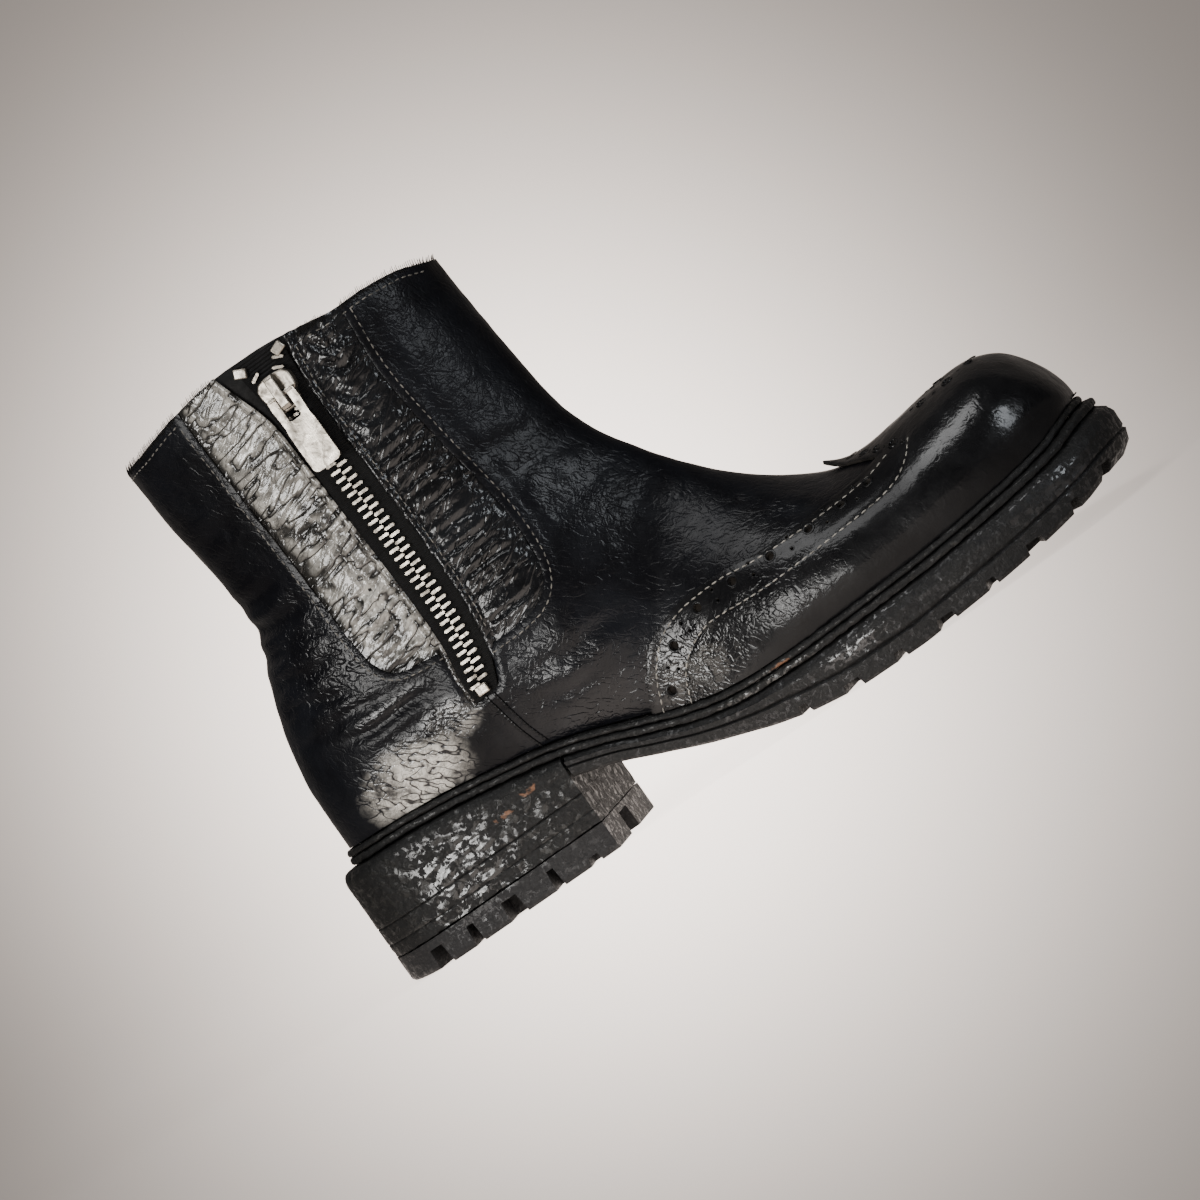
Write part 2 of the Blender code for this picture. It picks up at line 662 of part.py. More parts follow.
# ------------------------------------------------------------------ the sole
def build_midsole(mat):
    turns = full_turns(54)
    below = GAP + WELT + GAP
    low = below + MIDSOLE
    levels = (("feather", STRIP, below), ("feather", 0.0, below), ("midsole", 0.0, below),
              ("midsole", 0.0, low), ("feather", 0.0, low))
    loops = [[layer_point(a, layer_inset(a, name) + extra, depth) for a in turns]
             for name, extra, depth in levels]
    return new_object("midsole", stack(loops), mat, True)


def build_welt(mat):
    turns = full_turns(54)
    levels = (("welt", 0.0, GAP), ("feather", 0.0, GAP), ("feather", STRIP, GAP),
              ("feather", STRIP, GAP + WELT), ("feather", 0.0, GAP + WELT),
              ("welt", 0.0, GAP + WELT))
    loops = [[layer_point(a, layer_inset(a, name) + extra, depth) for a in turns]
             for name, extra, depth in levels]
    return new_object("welt", stack(loops, ring=True), mat, True)


def build_insole(mat):
    turns = full_turns(54)
    edge = WALL + 2.6
    loops = [[layer_point(a, layer_inset(a, "feather") + edge + rim, depth) for a in turns]
             for rim, depth in ((0.0, -0.1), (0.0, 0.6 - INSOLE), (0.7, -INSOLE))]
    return new_object("insole", stack(loops), mat, True)


def build_outsole(mat):
    start = HEEL_LENGTH + 1.0
    turns = fore_turns(51, start)
    below = GAP + WELT + GAP + MIDSOLE + 1.6 * GAP

    def loop(inset_of, height_of):
        points = []
        for a in turns:
            inset = inset_of(a)
            s, y, top = layer_point(a, inset, below)
            points.append((s, y, height_of(a, top)))
        return square_ends(points, start)

    def side(a, share):
        top = layer_point(a, layer_inset(a, "midsole"), below)[2]
        low = tread_height(a)
        band = min(8.2, 0.62 * (top - low))
        return low + band * share

    loops = [
        loop(lambda a: layer_inset(a, "feather"), lambda a, top: top),
        loop(lambda a: layer_inset(a, "midsole") + 0.7, lambda a, top: top),
        loop(lambda a: 0.35 * layer_inset(a, "midsole") + 0.1, lambda a, top: top - 1.6),
        loop(lambda a: 0.0, lambda a, top: 0.55 * top + 0.45 * side(a, 1.0)),
        loop(lambda a: 0.2, lambda a, top: side(a, 1.0)),
        loop(lambda a: 1.1, lambda a, top: side(a, 0.89)),
        loop(lambda a: 0.0, lambda a, top: side(a, 0.78)),
        loop(lambda a: 0.25 * layer_inset(a, "bevel"),
             lambda a, top: tread_height(a) + 0.4 + 0.5 * layer_inset(a, "bevel")),
        loop(lambda a: layer_inset(a, "bevel"), lambda a, top: tread_height(a)),
    ]
    obj = new_object("outsole", stack(loops, round_end=False), mat, True)
    cut(obj, sole_gaps())
    return obj


def wedge(bm, place):
    """Box primitive whose corners are placed by a function of (-1..1)."""
    for v in bmesh.ops.create_cube(bm, size=2.0)["verts"]:
        v.co = place(v.co.x, v.co.y, v.co.z)


def edge_turns(spacing, first_s, last_turn):
    """Turns at equal distances along the edge, from a station to a turn."""
    found = []
    a = turn_at(first_s)
    here = edge_point(a)
    travelled = 0.0
    found.append(a)
    step = 0.002
    while a > last_turn:
        a -= step
        there = edge_point(a)
        travelled += math.hypot(there[0] - here[0], there[1] - here[1])
        here = there
        if travelled >= spacing:
            travelled -= spacing
            found.append(a)
    return found


def gap_cutter(bm, turn, width, reach, height_of, flare):
    """Cutter for one gap in the tread, square to the sole's edge."""
    s, y = edge_point(turn)
    s1, y1 = rim_point(turn, 1.0)
    inward = (s1 - s, y1 - y)
    along = (-inward[1], inward[0])

    def place(x, u, w):
        depth = -4.0 if u < 0.0 else reach
        half = 0.5 * width + (flare if w < 0.0 else 0.0)
        px = s + inward[0] * depth + along[0] * half * x
        py = y + inward[1] * depth + along[1] * half * x
        return world(px, py, -4.0 if w < 0.0 else height_of(px))

    wedge(bm, place)


def sole_gaps():
    bm = bmesh.new()
    wide = False
    for turn in edge_turns(LUG_PITCH, 174.5, 0.12):
        for a in (turn, 2.0 * math.pi - turn):
            gap_cutter(bm, a, 5.6 if wide else 3.0, 19.0,
                       lambda px: blend(RISE, px, "tread") + LUG_DEPTH, 0.9)
        wide = not wide
    return new_object("cut_sole_gaps", bm)


def build_heel(mat):
    turns = heel_turns(35, HEEL_LENGTH)
    below = GAP + WELT + GAP + MIDSOLE + GAP

    def seat(inset, drop):
        points = [layer_point(a, inset, below + drop) for a in turns]
        return square_ends(points, HEEL_LENGTH)

    def level(inset, z):
        points = [rim_point(a, inset) + (z,) for a in turns]
        return square_ends(points, HEEL_LENGTH)

    loops = [seat(6.0, 0.2), seat(3.2, 0.2), seat(1.0, 1.3), seat(0.1, 3.8),
             level(0.0, 25.0), level(0.0, 22.4), level(0.4, 22.0), level(0.0, 21.6),
             level(0.2, TOP_LIFT + GAP)]
    return new_object("heel_block", stack(loops, round_end=False), mat, True)


def build_top_lift(mat):
    turns = heel_turns(35, HEEL_LENGTH)

    def level(inset, z):
        points = []
        for a in turns:
            s, y = rim_point(a, inset)
            wear = 1.0 * max(0.0, (24.0 - s) / 24.0) if z < 5.0 else 0.0
            points.append((s, y, z + wear))
        return square_ends(points, HEEL_LENGTH)

    loops = [level(0.0, TOP_LIFT), level(0.0, 1.0), level(0.7, 0.0)]
    obj = new_object("heel_top_lift", stack(loops, round_end=False), mat, True)
    bm = bmesh.new()
    for row in LIFT_NOTCHES:
        inner = turn_at(row["s"])
        for a in (inner, 2.0 * math.pi - inner):
            gap_cutter(bm, a, row["width"], 12.0, lambda px, top=row["height"]: top, 0.8)

    def channel(x, u, w):
        half = 6.5 if w > 0.0 else 7.6
        return world(HEEL_LENGTH - 9.0 if u < 0.0 else HEEL_LENGTH + 3.0,
                     -2.0 + half * x, 8.2 if w > 0.0 else -4.0)

    wedge(bm, channel)
    cut(obj, new_object("cut_lift_notches", bm))
    return obj


# ----------------------------------------------------------------- the upper
def prism(name, outline, y0, y1):
    """Side-view outline pulled straight across the boot, as a cutter."""
    bm = bmesh.new()
    near = [bm.verts.new(world(row["s"], y0, row["z"])) for row in outline]
    far = [bm.verts.new(world(row["s"], y1, row["z"])) for row in outline]
    count = len(outline)
    bm.faces.new(near)
    bm.faces.new(far)
    for k in range(count):
        n = (k + 1) % count
        bm.faces.new((near[k], near[n], far[n], far[k]))
    return new_object(name, bm)


def recess_cutter(name, side, outline):
    """The space that the panels leave: a thick skin cut to the side outline."""
    bm = skin([10.4, 11.0, 11.6, 12.2, FAN_END], COLUMNS, (side,), SHAFT_LEVELS + [20.3])
    lifted(bm, -RECESS)
    obj = skin_object(name, bm)
    thicken(obj, 5.0, 1.0)
    reach = sorted((side * 12.0, side * 90.0))
    cut(obj, prism(name + "_outline", outline, reach[0], reach[1]), "INTERSECT")
    return obj


def floor_cutter():
    """The space just above the welt and below it, which the upper keeps out of."""
    turns = full_turns(54)
    levels = ((-5.0, 12.0), (-5.0, 0.05), (0.0, 0.05), (STRIP, 0.05), (STRIP + 4.0, 0.05))
    loops = [[layer_point(a, layer_inset(a, "feather") + extra, depth) for a in turns]
             for extra, depth in levels]
    return new_object("cut_below_upper", stack(loops))


def build_upper(mat):
    bm = skin(section_steps(), COLUMNS, (-1, 1), SHAFT_LEVELS)
    outward(bm)
    obj = skin_object("upper", bm, mat)
    thicken(obj, WALL, -1.0)
    cut(obj, recess_cutter("cut_inner_panel", -1, PANEL + PANEL_ZIP_END + PANEL_FRONT))
    cut(obj, recess_cutter("cut_outer_panel", 1, PANEL + PANEL_FRONT))
    cut(obj, floor_cutter())
    return obj


def build_wing_cap(mat):
    bm = skin([t for t in section_steps() if t < 12.5], COLUMNS)
    lifted(bm, GAP)
    obj = skin_object("wing_cap", bm, mat)
    thicken(obj, OVERLAY, 1.0)
    top = ({"s": 242.5, "z": 90.0}, {"s": 320.0, "z": 90.0}, {"s": 320.0, "z": 24.0})
    outline = prism("cut_wing_outline", WING + top, -80.0, 80.0)
    peak = bmesh.new()
    low, high = 54.0, 90.0
    base, tip = WING_PEAK["base_s"], WING_PEAK["tip_s"]
    middle = -2.6
    corners = ((base + 6.0, middle - WING_PEAK["half"]), (base, middle - WING_PEAK["half"]),
               (tip, WING_PEAK["tip_y"]), (base, middle + WING_PEAK["half"]),
               (base + 6.0, middle + WING_PEAK["half"]))
    lower = [peak.verts.new(world(a, b, low)) for a, b in corners]
    upper_row = [peak.verts.new(world(a, b, high)) for a, b in corners]
    peak.faces.new(lower)
    peak.faces.new(upper_row)
    for k in range(5):
        n = (k + 1) % 5
        peak.faces.new((lower[k], lower[n], upper_row[n], upper_row[k]))
    cut(outline, new_object("cut_wing_peak", peak), "UNION")
    cut(obj, outline, "INTERSECT")
    return obj


# ------------------------------------------------------------------- the zip
def side_finder():
    """Function that gives the inner side's outer face at a side-view place."""
    fine = [FAN_END + 0.25 * k for k in range(1, 31)]
    bm = skin([10.4 + 0.3 * k for k in range(9)], 24, (-1,), fine)
    outward(bm)
    tree = BVHTree.FromBMesh(bm)
    bm.free()

    def find(s, z, lift):
        origin = world(s, -200.0, z)
        spot, normal, _, _ = tree.ray_cast(origin, Vector((0.0, 1.0, 0.0)))
        if normal.y > 0.0:
            normal = -normal
        return spot + normal * lift * MM

    return find


def zip_centre(z):
    rows = [{"s": row["z"], "line": row["s"]} for row in ZIP_LINE]
    return blend(rows, z, "line")


def zip_spread(z):
    """The two rows part above the slider."""
    return 0.55 * max(0.0, z - SLIDER["high"] + 2.0)


def build_tape(mat, find):
    bm = bmesh.new()
    count = 25
    rows = []
    for k in range(count + 1):
        z = ZIP_SPAN["tape_low"] + (ZIP_SPAN["tape_high"] - ZIP_SPAN["tape_low"]) * k / count
        half = 0.5 * ZIP_TAPE
        if z < 84.0:
            half = 0.5 * ZIP_TAPE - 2.4 * (84.0 - z) / 16.4
        rows.append([bm.verts.new(find(zip_centre(z) + half * u, z, 1.6 * GAP - RECESS))
                     for u in (-1.0, -0.4, 0.4, 1.0)])
    for low, high in zip(rows, rows[1:]):
        for k in range(3):
            bm.faces.new((low[k], low[k + 1], high[k + 1], high[k]))
    outward(bm)
    obj = skin_object("zip_tape", bm, mat)
    thicken(obj, 0.7, 1.0)
    return obj


def build_comb(name, side, mat, find):
    """One row of teeth on its cord, standing on the tape."""
    bm = bmesh.new()
    base = 1.6 * GAP - RECESS + 0.7 + 1.5 * GAP
    root, tip, cord = 3.3, 0.25, 4.6
    z = ZIP_SPAN["teeth_low"] + (0.0 if side < 0 else 0.5 * ZIP_PITCH)
    levels = []
    while z + ZIP_TOOTH < ZIP_SPAN["teeth_high"]:
        levels.append(z)
        levels.append(z + ZIP_TOOTH)
        z += ZIP_PITCH
    rows = []
    for z in levels:
        shift = side * zip_spread(z)
        rows.append([bm.verts.new(find(zip_centre(z) + shift + side * w, z, base))
                     for w in (cord, root, tip)])
    for k in range(len(rows) - 1):
        low, high = rows[k], rows[k + 1]
        bm.faces.new((low[0], low[1], high[1], high[0]))
        if k % 2 == 0:
            bm.faces.new((low[1], low[2], high[2], high[1]))
    loose = [v for v in bm.verts if not v.link_faces]
    bmesh.ops.delete(bm, geom=loose, context="VERTS")
    outward(bm)
    obj = skin_object(name, bm, mat)
    thicken(obj, 1.5, 1.0)
    return obj


def zip_frame(find):
    """Origin on the chain at the slider's pivot, with directions out and up."""
    z = SLIDER["pivot"]
    spot = find(zip_centre(z), z, 0.0)
    above = find(zip_centre(z + 6.0), z + 6.0, 0.0)
    up = (above - spot).normalized()
    side = Vector((1.0, 0.0, 0.0))
    out = up.cross(side).normalized()
    if out.y > 0.0:
        out = -out
    return spot, out


def slab(bm, centre, size):
    """Box primitive of the given size, in metres, about a centre."""
    cube = bmesh.ops.create_cube(bm, size=1.0)["verts"]
    for v in cube:
        v.co = Vector((centre[0] + v.co.x * size[0], centre[1] + v.co.y * size[1],
                       centre[2] + v.co.z * size[2]))


def build_slider(mat, find):
    """Body over the chain, with a bridge that holds the pull's bar."""
    spot, out = zip_frame(find)
    foot = 1.6 * GAP - RECESS + 0.7 + 1.5 * GAP + 1.5 + 3.4 * GAP
    plate = 1.7
    arch = 2.3
    bar = 1.3
    face = spot.y - (foot + plate) * MM
    low, high = SLIDER["low"] * MM, SLIDER["high"] * MM
    bm = bmesh.new()
    outline = ((-4.6, low), (4.6, low), (4.9, low + 0.0045), (6.7, low + 0.0075),
               (6.7, high - 0.0022), (4.4, high), (-4.4, high), (-6.7, high - 0.0022),
               (-6.7, low + 0.0075), (-4.9, low + 0.0045))
    back = [bm.verts.new((spot.x + x * MM, face + plate * MM, z)) for x, z in outline]
    front = [bm.verts.new((spot.x + x * MM, face, z)) for x, z in outline]
    bm.faces.new(back)
    bm.faces.new(front)
    count = len(outline)
    for k in range(count):
        n = (k + 1) % count
        bm.faces.new((back[k], back[n], front[n], front[k]))
    obj = new_object("zip_slider", bm, mat)
    width = 3.4 * MM
    bridge = bmesh.new()
    outer = face - (arch + bar) * MM
    inner = face - arch * MM
    sink = face + 0.6 * MM
    profile = ((sink, low + 0.0006), (outer + 0.0008, low + 0.0006), (outer, low + 0.0016),
               (outer, high - 0.0008), (outer + 0.0008, high + 0.0002),
               (sink, high + 0.0002), (sink, high - 0.0024),
               (inner, high - 0.0032), (inner, low + 0.0030), (sink, low + 0.0024))
    left = [bridge.verts.new((spot.x - 0.5 * width, y, z)) for y, z in profile]
    right = [bridge.verts.new((spot.x + 0.5 * width, y, z)) for y, z in profile]
    for k in range(len(profile)):
        n = (k + 1) % len(profile)
        bridge.faces.new((left[k], left[n], right[n], right[k]))
    bridge.faces.new(left)
    bridge.faces.new(right)
    cut(obj, new_object("add_slider_bridge", bridge), "UNION")
    pivot = Vector((spot.x, face - 0.5 * arch * MM, SLIDER["pivot"] * MM))
    return obj, pivot, arch


def build_pull(mat, pivot, arch):
    """Flat tab with a window, hanging from a round bar under the bridge."""
    bm = bmesh.new()
    half = 0.5 * PULL_WIDTH * MM
    thick = 1.3 * MM
    bar = (arch - 2.0 * GAP) * MM
    bottom = -(PULL_LENGTH - 1.0) * MM
    window_low = -9.2 * MM
    slot = 2.4 * MM
    y0 = -0.5 * thick
    y1 = 0.5 * thick
    outer = ((-half + 0.0006, 0.0008), (half - 0.0006, 0.0008), (half, -0.004),
             (half, bottom + 0.0015), (half - 0.001, bottom + 0.0004), (0.0, bottom - 0.0003),
             (-half + 0.001, bottom + 0.0004), (-half, bottom + 0.0015), (-half, -0.004))
    back = [bm.verts.new((x, y1, z)) for x, z in outer]
    front = [bm.verts.new((x, y0, z)) for x, z in outer]
    bm.faces.new(back)
    bm.faces.new(front)
    for k in range(len(outer)):
        n = (k + 1) % len(outer)
        bm.faces.new((back[k], back[n], front[n], front[k]))
    obj = new_object("zip_pull", bm, mat)
    window = bmesh.new()
    slab(window, (0.0, 0.0, 0.5 * (window_low + 0.004)),
         (2.0 * slot, 0.006, 0.004 - window_low))
    cutter = new_object("cut_pull_window", window)
    rod = bmesh.new()
    bmesh.ops.create_cone(rod, cap_ends=True, segments=12, radius1=0.5 * bar,
                          radius2=0.5 * bar, depth=PULL_WIDTH * MM - 0.0016)
    bmesh.ops.rotate(rod, verts=rod.verts, cent=(0.0, 0.0, 0.0),
                     matrix=Matrix.Rotation(math.radians(90.0), 3, "Y"))
    axle = new_object("add_pull_bar", rod)
    for helper in (cutter, axle):
        helper.location = pivot
    obj.location = pivot
    cut(obj, cutter)
    cut(obj, axle, "UNION")
    return obj


def main():
    global parts, cutters
    for obj in list(bpy.data.objects):
        bpy.data.objects.remove(obj, do_unlink=True)
    parts = bpy.data.collections.new("brogue_ankle_boot")
    cutters = bpy.data.collections.new("cutters")
    for group in (parts, cutters):
        bpy.context.scene.collection.children.link(group)

    leather = material("black_leather", (0.012, 0.012, 0.014), 0.32)
    overlay = material("wing_leather", (0.016, 0.016, 0.018), 0.30)
    edge = material("waxed_edge", (0.014, 0.013, 0.013), 0.38)
    rubber = material("sole_rubber", (0.018, 0.018, 0.018), 0.62)
    lift = material("top_lift_rubber", (0.030, 0.030, 0.031), 0.75)
    lining = material("insole_leather", (0.045, 0.036, 0.030), 0.70)
    tape = material("zip_tape", (0.010, 0.010, 0.011), 0.85)
    nickel = material("nickel", (0.62, 0.60, 0.57), 0.28, 1.0)

    build_outsole(rubber)
    build_midsole(edge)
    build_welt(edge)
    build_heel(edge)
    build_top_lift(lift)
    build_insole(lining)
    build_upper(leather)
    build_wing_cap(overlay)
    find = side_finder()
    build_tape(tape, find)
    build_comb("zip_teeth_rear", -1, nickel, find)
    build_comb("zip_teeth_front", 1, nickel, find)
    _, pivot, arch = build_slider(nickel, find)
    build_pull(nickel, pivot, arch)


if __name__ == "__main__":
    main()
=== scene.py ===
"""Left brogue ankle boot with a side zip: the finish of every visible surface.

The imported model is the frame.  Its shape comes from a few tables of the last:
"s" is millimetres forward of the heel's back, "y" across from the heel's centre
line (the inner side is negative) and "z" up from the floor.
"""
import math
from itertools import pairwise

import bmesh
import bpy
import numpy as np
from bpy.props import FloatProperty, FloatVectorProperty, PointerProperty
from mathutils import Matrix, Vector, noise
from mathutils.bvhtree import BVHTree

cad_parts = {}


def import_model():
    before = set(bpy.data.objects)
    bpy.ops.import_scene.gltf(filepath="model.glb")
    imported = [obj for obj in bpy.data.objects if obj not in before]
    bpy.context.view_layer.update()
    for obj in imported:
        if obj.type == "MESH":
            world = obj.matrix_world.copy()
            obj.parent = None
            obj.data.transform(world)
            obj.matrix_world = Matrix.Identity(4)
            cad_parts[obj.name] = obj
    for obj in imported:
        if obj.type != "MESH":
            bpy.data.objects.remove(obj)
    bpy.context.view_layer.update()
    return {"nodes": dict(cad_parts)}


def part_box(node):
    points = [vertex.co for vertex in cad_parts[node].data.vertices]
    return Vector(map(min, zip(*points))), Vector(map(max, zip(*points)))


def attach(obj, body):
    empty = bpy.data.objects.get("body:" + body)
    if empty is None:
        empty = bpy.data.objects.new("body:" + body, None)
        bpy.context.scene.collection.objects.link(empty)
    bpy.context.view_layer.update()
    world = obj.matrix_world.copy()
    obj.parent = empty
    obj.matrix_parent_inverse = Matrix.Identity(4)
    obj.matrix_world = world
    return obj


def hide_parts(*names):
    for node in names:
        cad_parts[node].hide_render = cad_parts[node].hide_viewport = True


bl_info = {
    "name": "Brogue ankle boot",
    "version": (1, 0, 0),
    "blender": (4, 5, 0),
    "location": "3D Viewport > Sidebar > Boot",
    "description": "Builds the visible pieces of a zipped brogue ankle boot",
    "category": "Object",
}

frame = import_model()
MM = 0.001
SIDES = INNER, OUTER = -1, 1
EDGE_SLOT = 1


def table(heading, *rows):
    """Rows of values under the names in the heading."""
    return tuple(dict(zip(heading.split(), row)) for row in rows)


# ---------------------------------------------------------------- main sizes
LENGTH = 307.0
MID_Y = 2.4
OVERLAY = 1.3
GAP = 0.3
SEAT = 0.25
WELT = 2.2
MIDSOLE = 2.6
STRIP = 9.0
TOP_LIFT = 10.4
HEEL_LENGTH = 94.0
TOE_ROUND, TOE_POWER = 238.0, 2.2
HEEL_ROUND, HEEL_POWER = 36.0, 2.2
LUG_PITCH, LUG_DEPTH = 18.6, 3.0
ZIP_PITCH, ZIP_TOOTH = 2.9, 1.5

PLAN = table(
    "s centre half",
    (0, 0, 35), (40, 0, 35.2), (80, 0.8, 34.9), (95, 1.8, 34.4), (112, 3.2, 34.4), (130, 4.8, 38),
    (150, 5.2, 44.2), (170, 4.4, 49.7), (190, 3.2, 52.7), (212, 1.8, 53), (238, 0, 50.6),
    (262, -1.8, 50), (287, -4.2, 50), (307, -5.5, 50),
)
STEPS = table(
    "s feather welt midsole fall bevel",
    (0, 8.3, 6.4, 5.9, 0.05, 0.8), (30, 6.2, 4.4, 4, 0.05, 0.8), (90, 5.4, 3.2, 2.8, 0.08, 1),
    (112, 5.2, 1.8, 1, 0.1, 1), (150, 5.6, 2.2, 1.2, 0.1, 1), (200, 6.2, 2.6, 1.4, 0.12, 1),
    (250, 7, 3.6, 1.8, 0.15, 1.4), (285, 8.4, 5.4, 2.9, 0.16, 3), (307, 9.2, 6.3, 3.2, 0.15, 5.2),
)
RISE = table(
    "s feather tread",
    (8, 50.2, 36), (30, 50, 35), (50, 48.5, 33.5), (70, 45.8, 31.8), (90, 42.3, 28.9),
    (105, 38.3, 24.8), (125, 31.2, 17.5), (140, 26.6, 12.1), (155, 23.6, 7.7), (168, 22.7, 4.2),
    (182, 22.7, 1.6), (200, 23.3, 0), (218, 24.1, 0), (232, 24.8, 1), (250, 26.4, 2.5),
    (270, 28.8, 4.9), (284, 31.2, 7.4), (298, 35.6, 11),
)

# Sections of the upper, toe to ankle, from the front line to the feather line.
SECTIONS = table(
    "front end share inner outer widest crown ridge",
    ((297.8, 35.6), 307, 1, 0.8, 0.8, 0.6, 0, -5.5),
    ((296.7, 43), 303.6, 1, 1, 1, 0.62, 0, -5.4),
    ((292.9, 52), 298.8, 1, 1.2, 1.2, 0.66, 0, -5.2),
    ((286, 60), 291, 1, 1.4, 1.4, 0.7, 0, -4.8),
    ((276, 63.9), 280, 1, 1.6, 1.6, 0.74, -0.02, -4.2),
    ((261, 63.2), 263.5, 1, 1.8, 1.8, 0.76, 0.02, -3.4),
    ((246, 61.1), 246.5, 1, 1.8, 1.8, 0.76, 0.08, -2.6),
    ((232, 59.7), 230, 1, 1.8, 1.8, 0.76, 0.14, -2),
    ((218.5, 61.9), 212, 1, 1.8, 1.8, 0.77, 0.22, -1.4),
    ((204, 70), 190.5, 1, 1.7, 1.7, 0.78, 0.3, -0.8),
    ((189.5, 81.7), 166, 1, 1.5, 1.5, 0.78, 0.38, -0.3),
    ((175.5, 97.6), 138, 1, 1.4, 1.4, 0.76, 0.42, 0),
    ((165, 112.8), 106, 0.7, 13.2, 12.2, 0.72, 0.4, 0),
    ((158.6, 126.8), 62, 0.5, 20, 20, 0.6, 0.34, 0),
    ((156.3, 136), 0, 0.5, 20, 20, 0.5, 0.3, 0),
)
SHIN = ((155, 146), (153.9, 157), (152.8, 168), (151.9, 178.5), (151.1, 188), (150.8, 195.5))
COLLAR_T = 20.0
FAN_END = 12.8
BACK = table(
    "s line round inner outer crown",
    (50.2, 8.3, 38, 34.2, 34.6, 0.42), (72, 8.7, 42, 34.4, 34.8, 0.42),
    (88, 11, 46, 34.3, 34.7, 0.42), (102.5, 15.6, 50, 34.2, 34.6, 0.41),
    (116, 21.2, 54, 34.3, 34.7, 0.38), (127, 25.6, 58, 34.5, 34.9, 0.34),
    (138, 26.3, 60, 34.9, 35.3, 0.29), (150, 25.6, 62, 35.4, 35.8, 0.23),
    (174.5, 22.6, 62, 36.6, 37, 0.12), (204, 20.7, 62, 38.2, 38.6, 0.04),
)
BACK_POWER = 2.2
BACK_SPLIT, BACK_TOP = 112.0, 198.0
SHIN_DEPTH = 64.0
COUNTER = 27.0
COLLAR_ARCH = 7.0

# Side views: the wing cap's edge, the panel beside the zip and the zip itself.
WING = ((125.5, 24), (128, 29.5), (131.6, 36.5), (135.8, 43), (140.6, 48.2), (146.5, 51.8),
        (158, 54.8), (170, 55.3), (180, 54.6), (189, 53.4), (208, 53.1), (224, 53.9), (235, 55.2),
        (242.5, 57.2))
WING_PEAK = {"tip_s": 217.5, "tip_y": -1.4, "base_s": 244.0, "half": 27.0, "mid_y": -2.6}
PANEL_REAR = ((57, 216), (57, 180), (57.6, 155), (58.6, 128), (59.8, 104), (61.6, 95.6),
              (65, 90.8), (71, 88.5), (82, 87.3))
ZIP_END = ((82.4, 79), (81.6, 67), (93, 67))
PANEL_FRONT = ((98.5, 79.6), (112, 79.9), (120.5, 82.1), (125.2, 86.7), (127.6, 94), (127.9, 106),
               (126.6, 121), (123.6, 141), (121.2, 163), (120.6, 178), (122, 194), (124.4, 216))
ZIP_LINE = table(
    "s line",
    (66, 87), (74, 88.8), (82, 90.7), (91, 92), (104, 92.6), (122, 92.5), (160, 91.9),
    (206, 91.6),
)
SLIDER = {"low": 180.6, "high": 193.6, "pivot": 186.2}
# How far the pull's middle lies to the inner side, across the frame.
PULL_Y = -45.176


# ------------------------------------------------------------ tables, curves
def blend(table, at, name):
    """Smooth values of a table's column at stations, for one number or an array."""
    xs = np.array([row["s"] for row in table])
    ys = np.array([row[name] for row in table])
    rise = np.diff(ys) / np.diff(xs)
    slope = np.zeros(len(xs))
    before, after = rise[:-1], rise[1:]
    same = before * after > 0.0
    total = np.where(same, before + after, 1.0)
    slope[1:-1] = np.where(same, 2.0 * before * after / total, 0.0)
    at = np.clip(np.asarray(at, dtype=float), xs[0], xs[-1])
    i = np.clip(np.searchsorted(xs, at, side="right") - 1, 0, len(xs) - 2)
    width = xs[i + 1] - xs[i]
    f = (at - xs[i]) / width
    return ((1.0 + 2.0 * f) * (1.0 - f) ** 2 * ys[i] + f * (1.0 - f) ** 2 * width * slope[i]
            + f * f * (3.0 - 2.0 * f) * ys[i + 1] + f * f * (f - 1.0) * width * slope[i + 1])


def through(values, t):
    """Catmull-Rom curve through equally spaced values."""
    v = np.asarray(values, dtype=float)
    v = np.concatenate(([2.0 * v[0] - v[1]], v, [2.0 * v[-1] - v[-2]]))
    t = np.asarray(t, dtype=float)
    i = np.clip(t.astype(int), 0, len(values) - 2)
    f = t - i
    a, b, c, d = v[i], v[i + 1], v[i + 2], v[i + 3]
    return 0.5 * (2.0 * b + (c - a) * f + (2.0 * a - 5.0 * b + 4.0 * c - d) * f * f
                  + (3.0 * b - a - 3.0 * c + d) * f ** 3)


def run_length(path):
    """Length gone along a path at each of its points."""
    return np.concatenate(([0.0], np.cumsum(np.linalg.norm(np.diff(path, axis=0), axis=1))))


def smooth_path(points, step=1.0):
    """Curve through given points, as an array of points at even steps."""
    pts = np.array(points, dtype=float)
    t = np.linspace(0.0, len(pts) - 1.0, 24 * (len(pts) - 1) + 1)
    fine = np.stack([through(pts[:, k], t) for k in range(pts.shape[1])], axis=1)
    gone = run_length(fine)
    count = max(2, int(round(gone[-1] / step)) + 1)
    even = np.linspace(0.0, gone[-1], count)
    return np.stack([np.interp(even, gone, fine[:, k]) for k in range(pts.shape[1])], axis=1)


def shifted(path, distance):
    """Path moved sideways: to the left of its direction where distance is positive."""
    along = np.gradient(path[:, :2], axis=0)
    along /= np.linalg.norm(along, axis=1)[:, None] + 1e-9
    moved = path.copy()
    moved[:, 0] -= along[:, 1] * distance
    moved[:, 1] += along[:, 0] * distance
    return moved


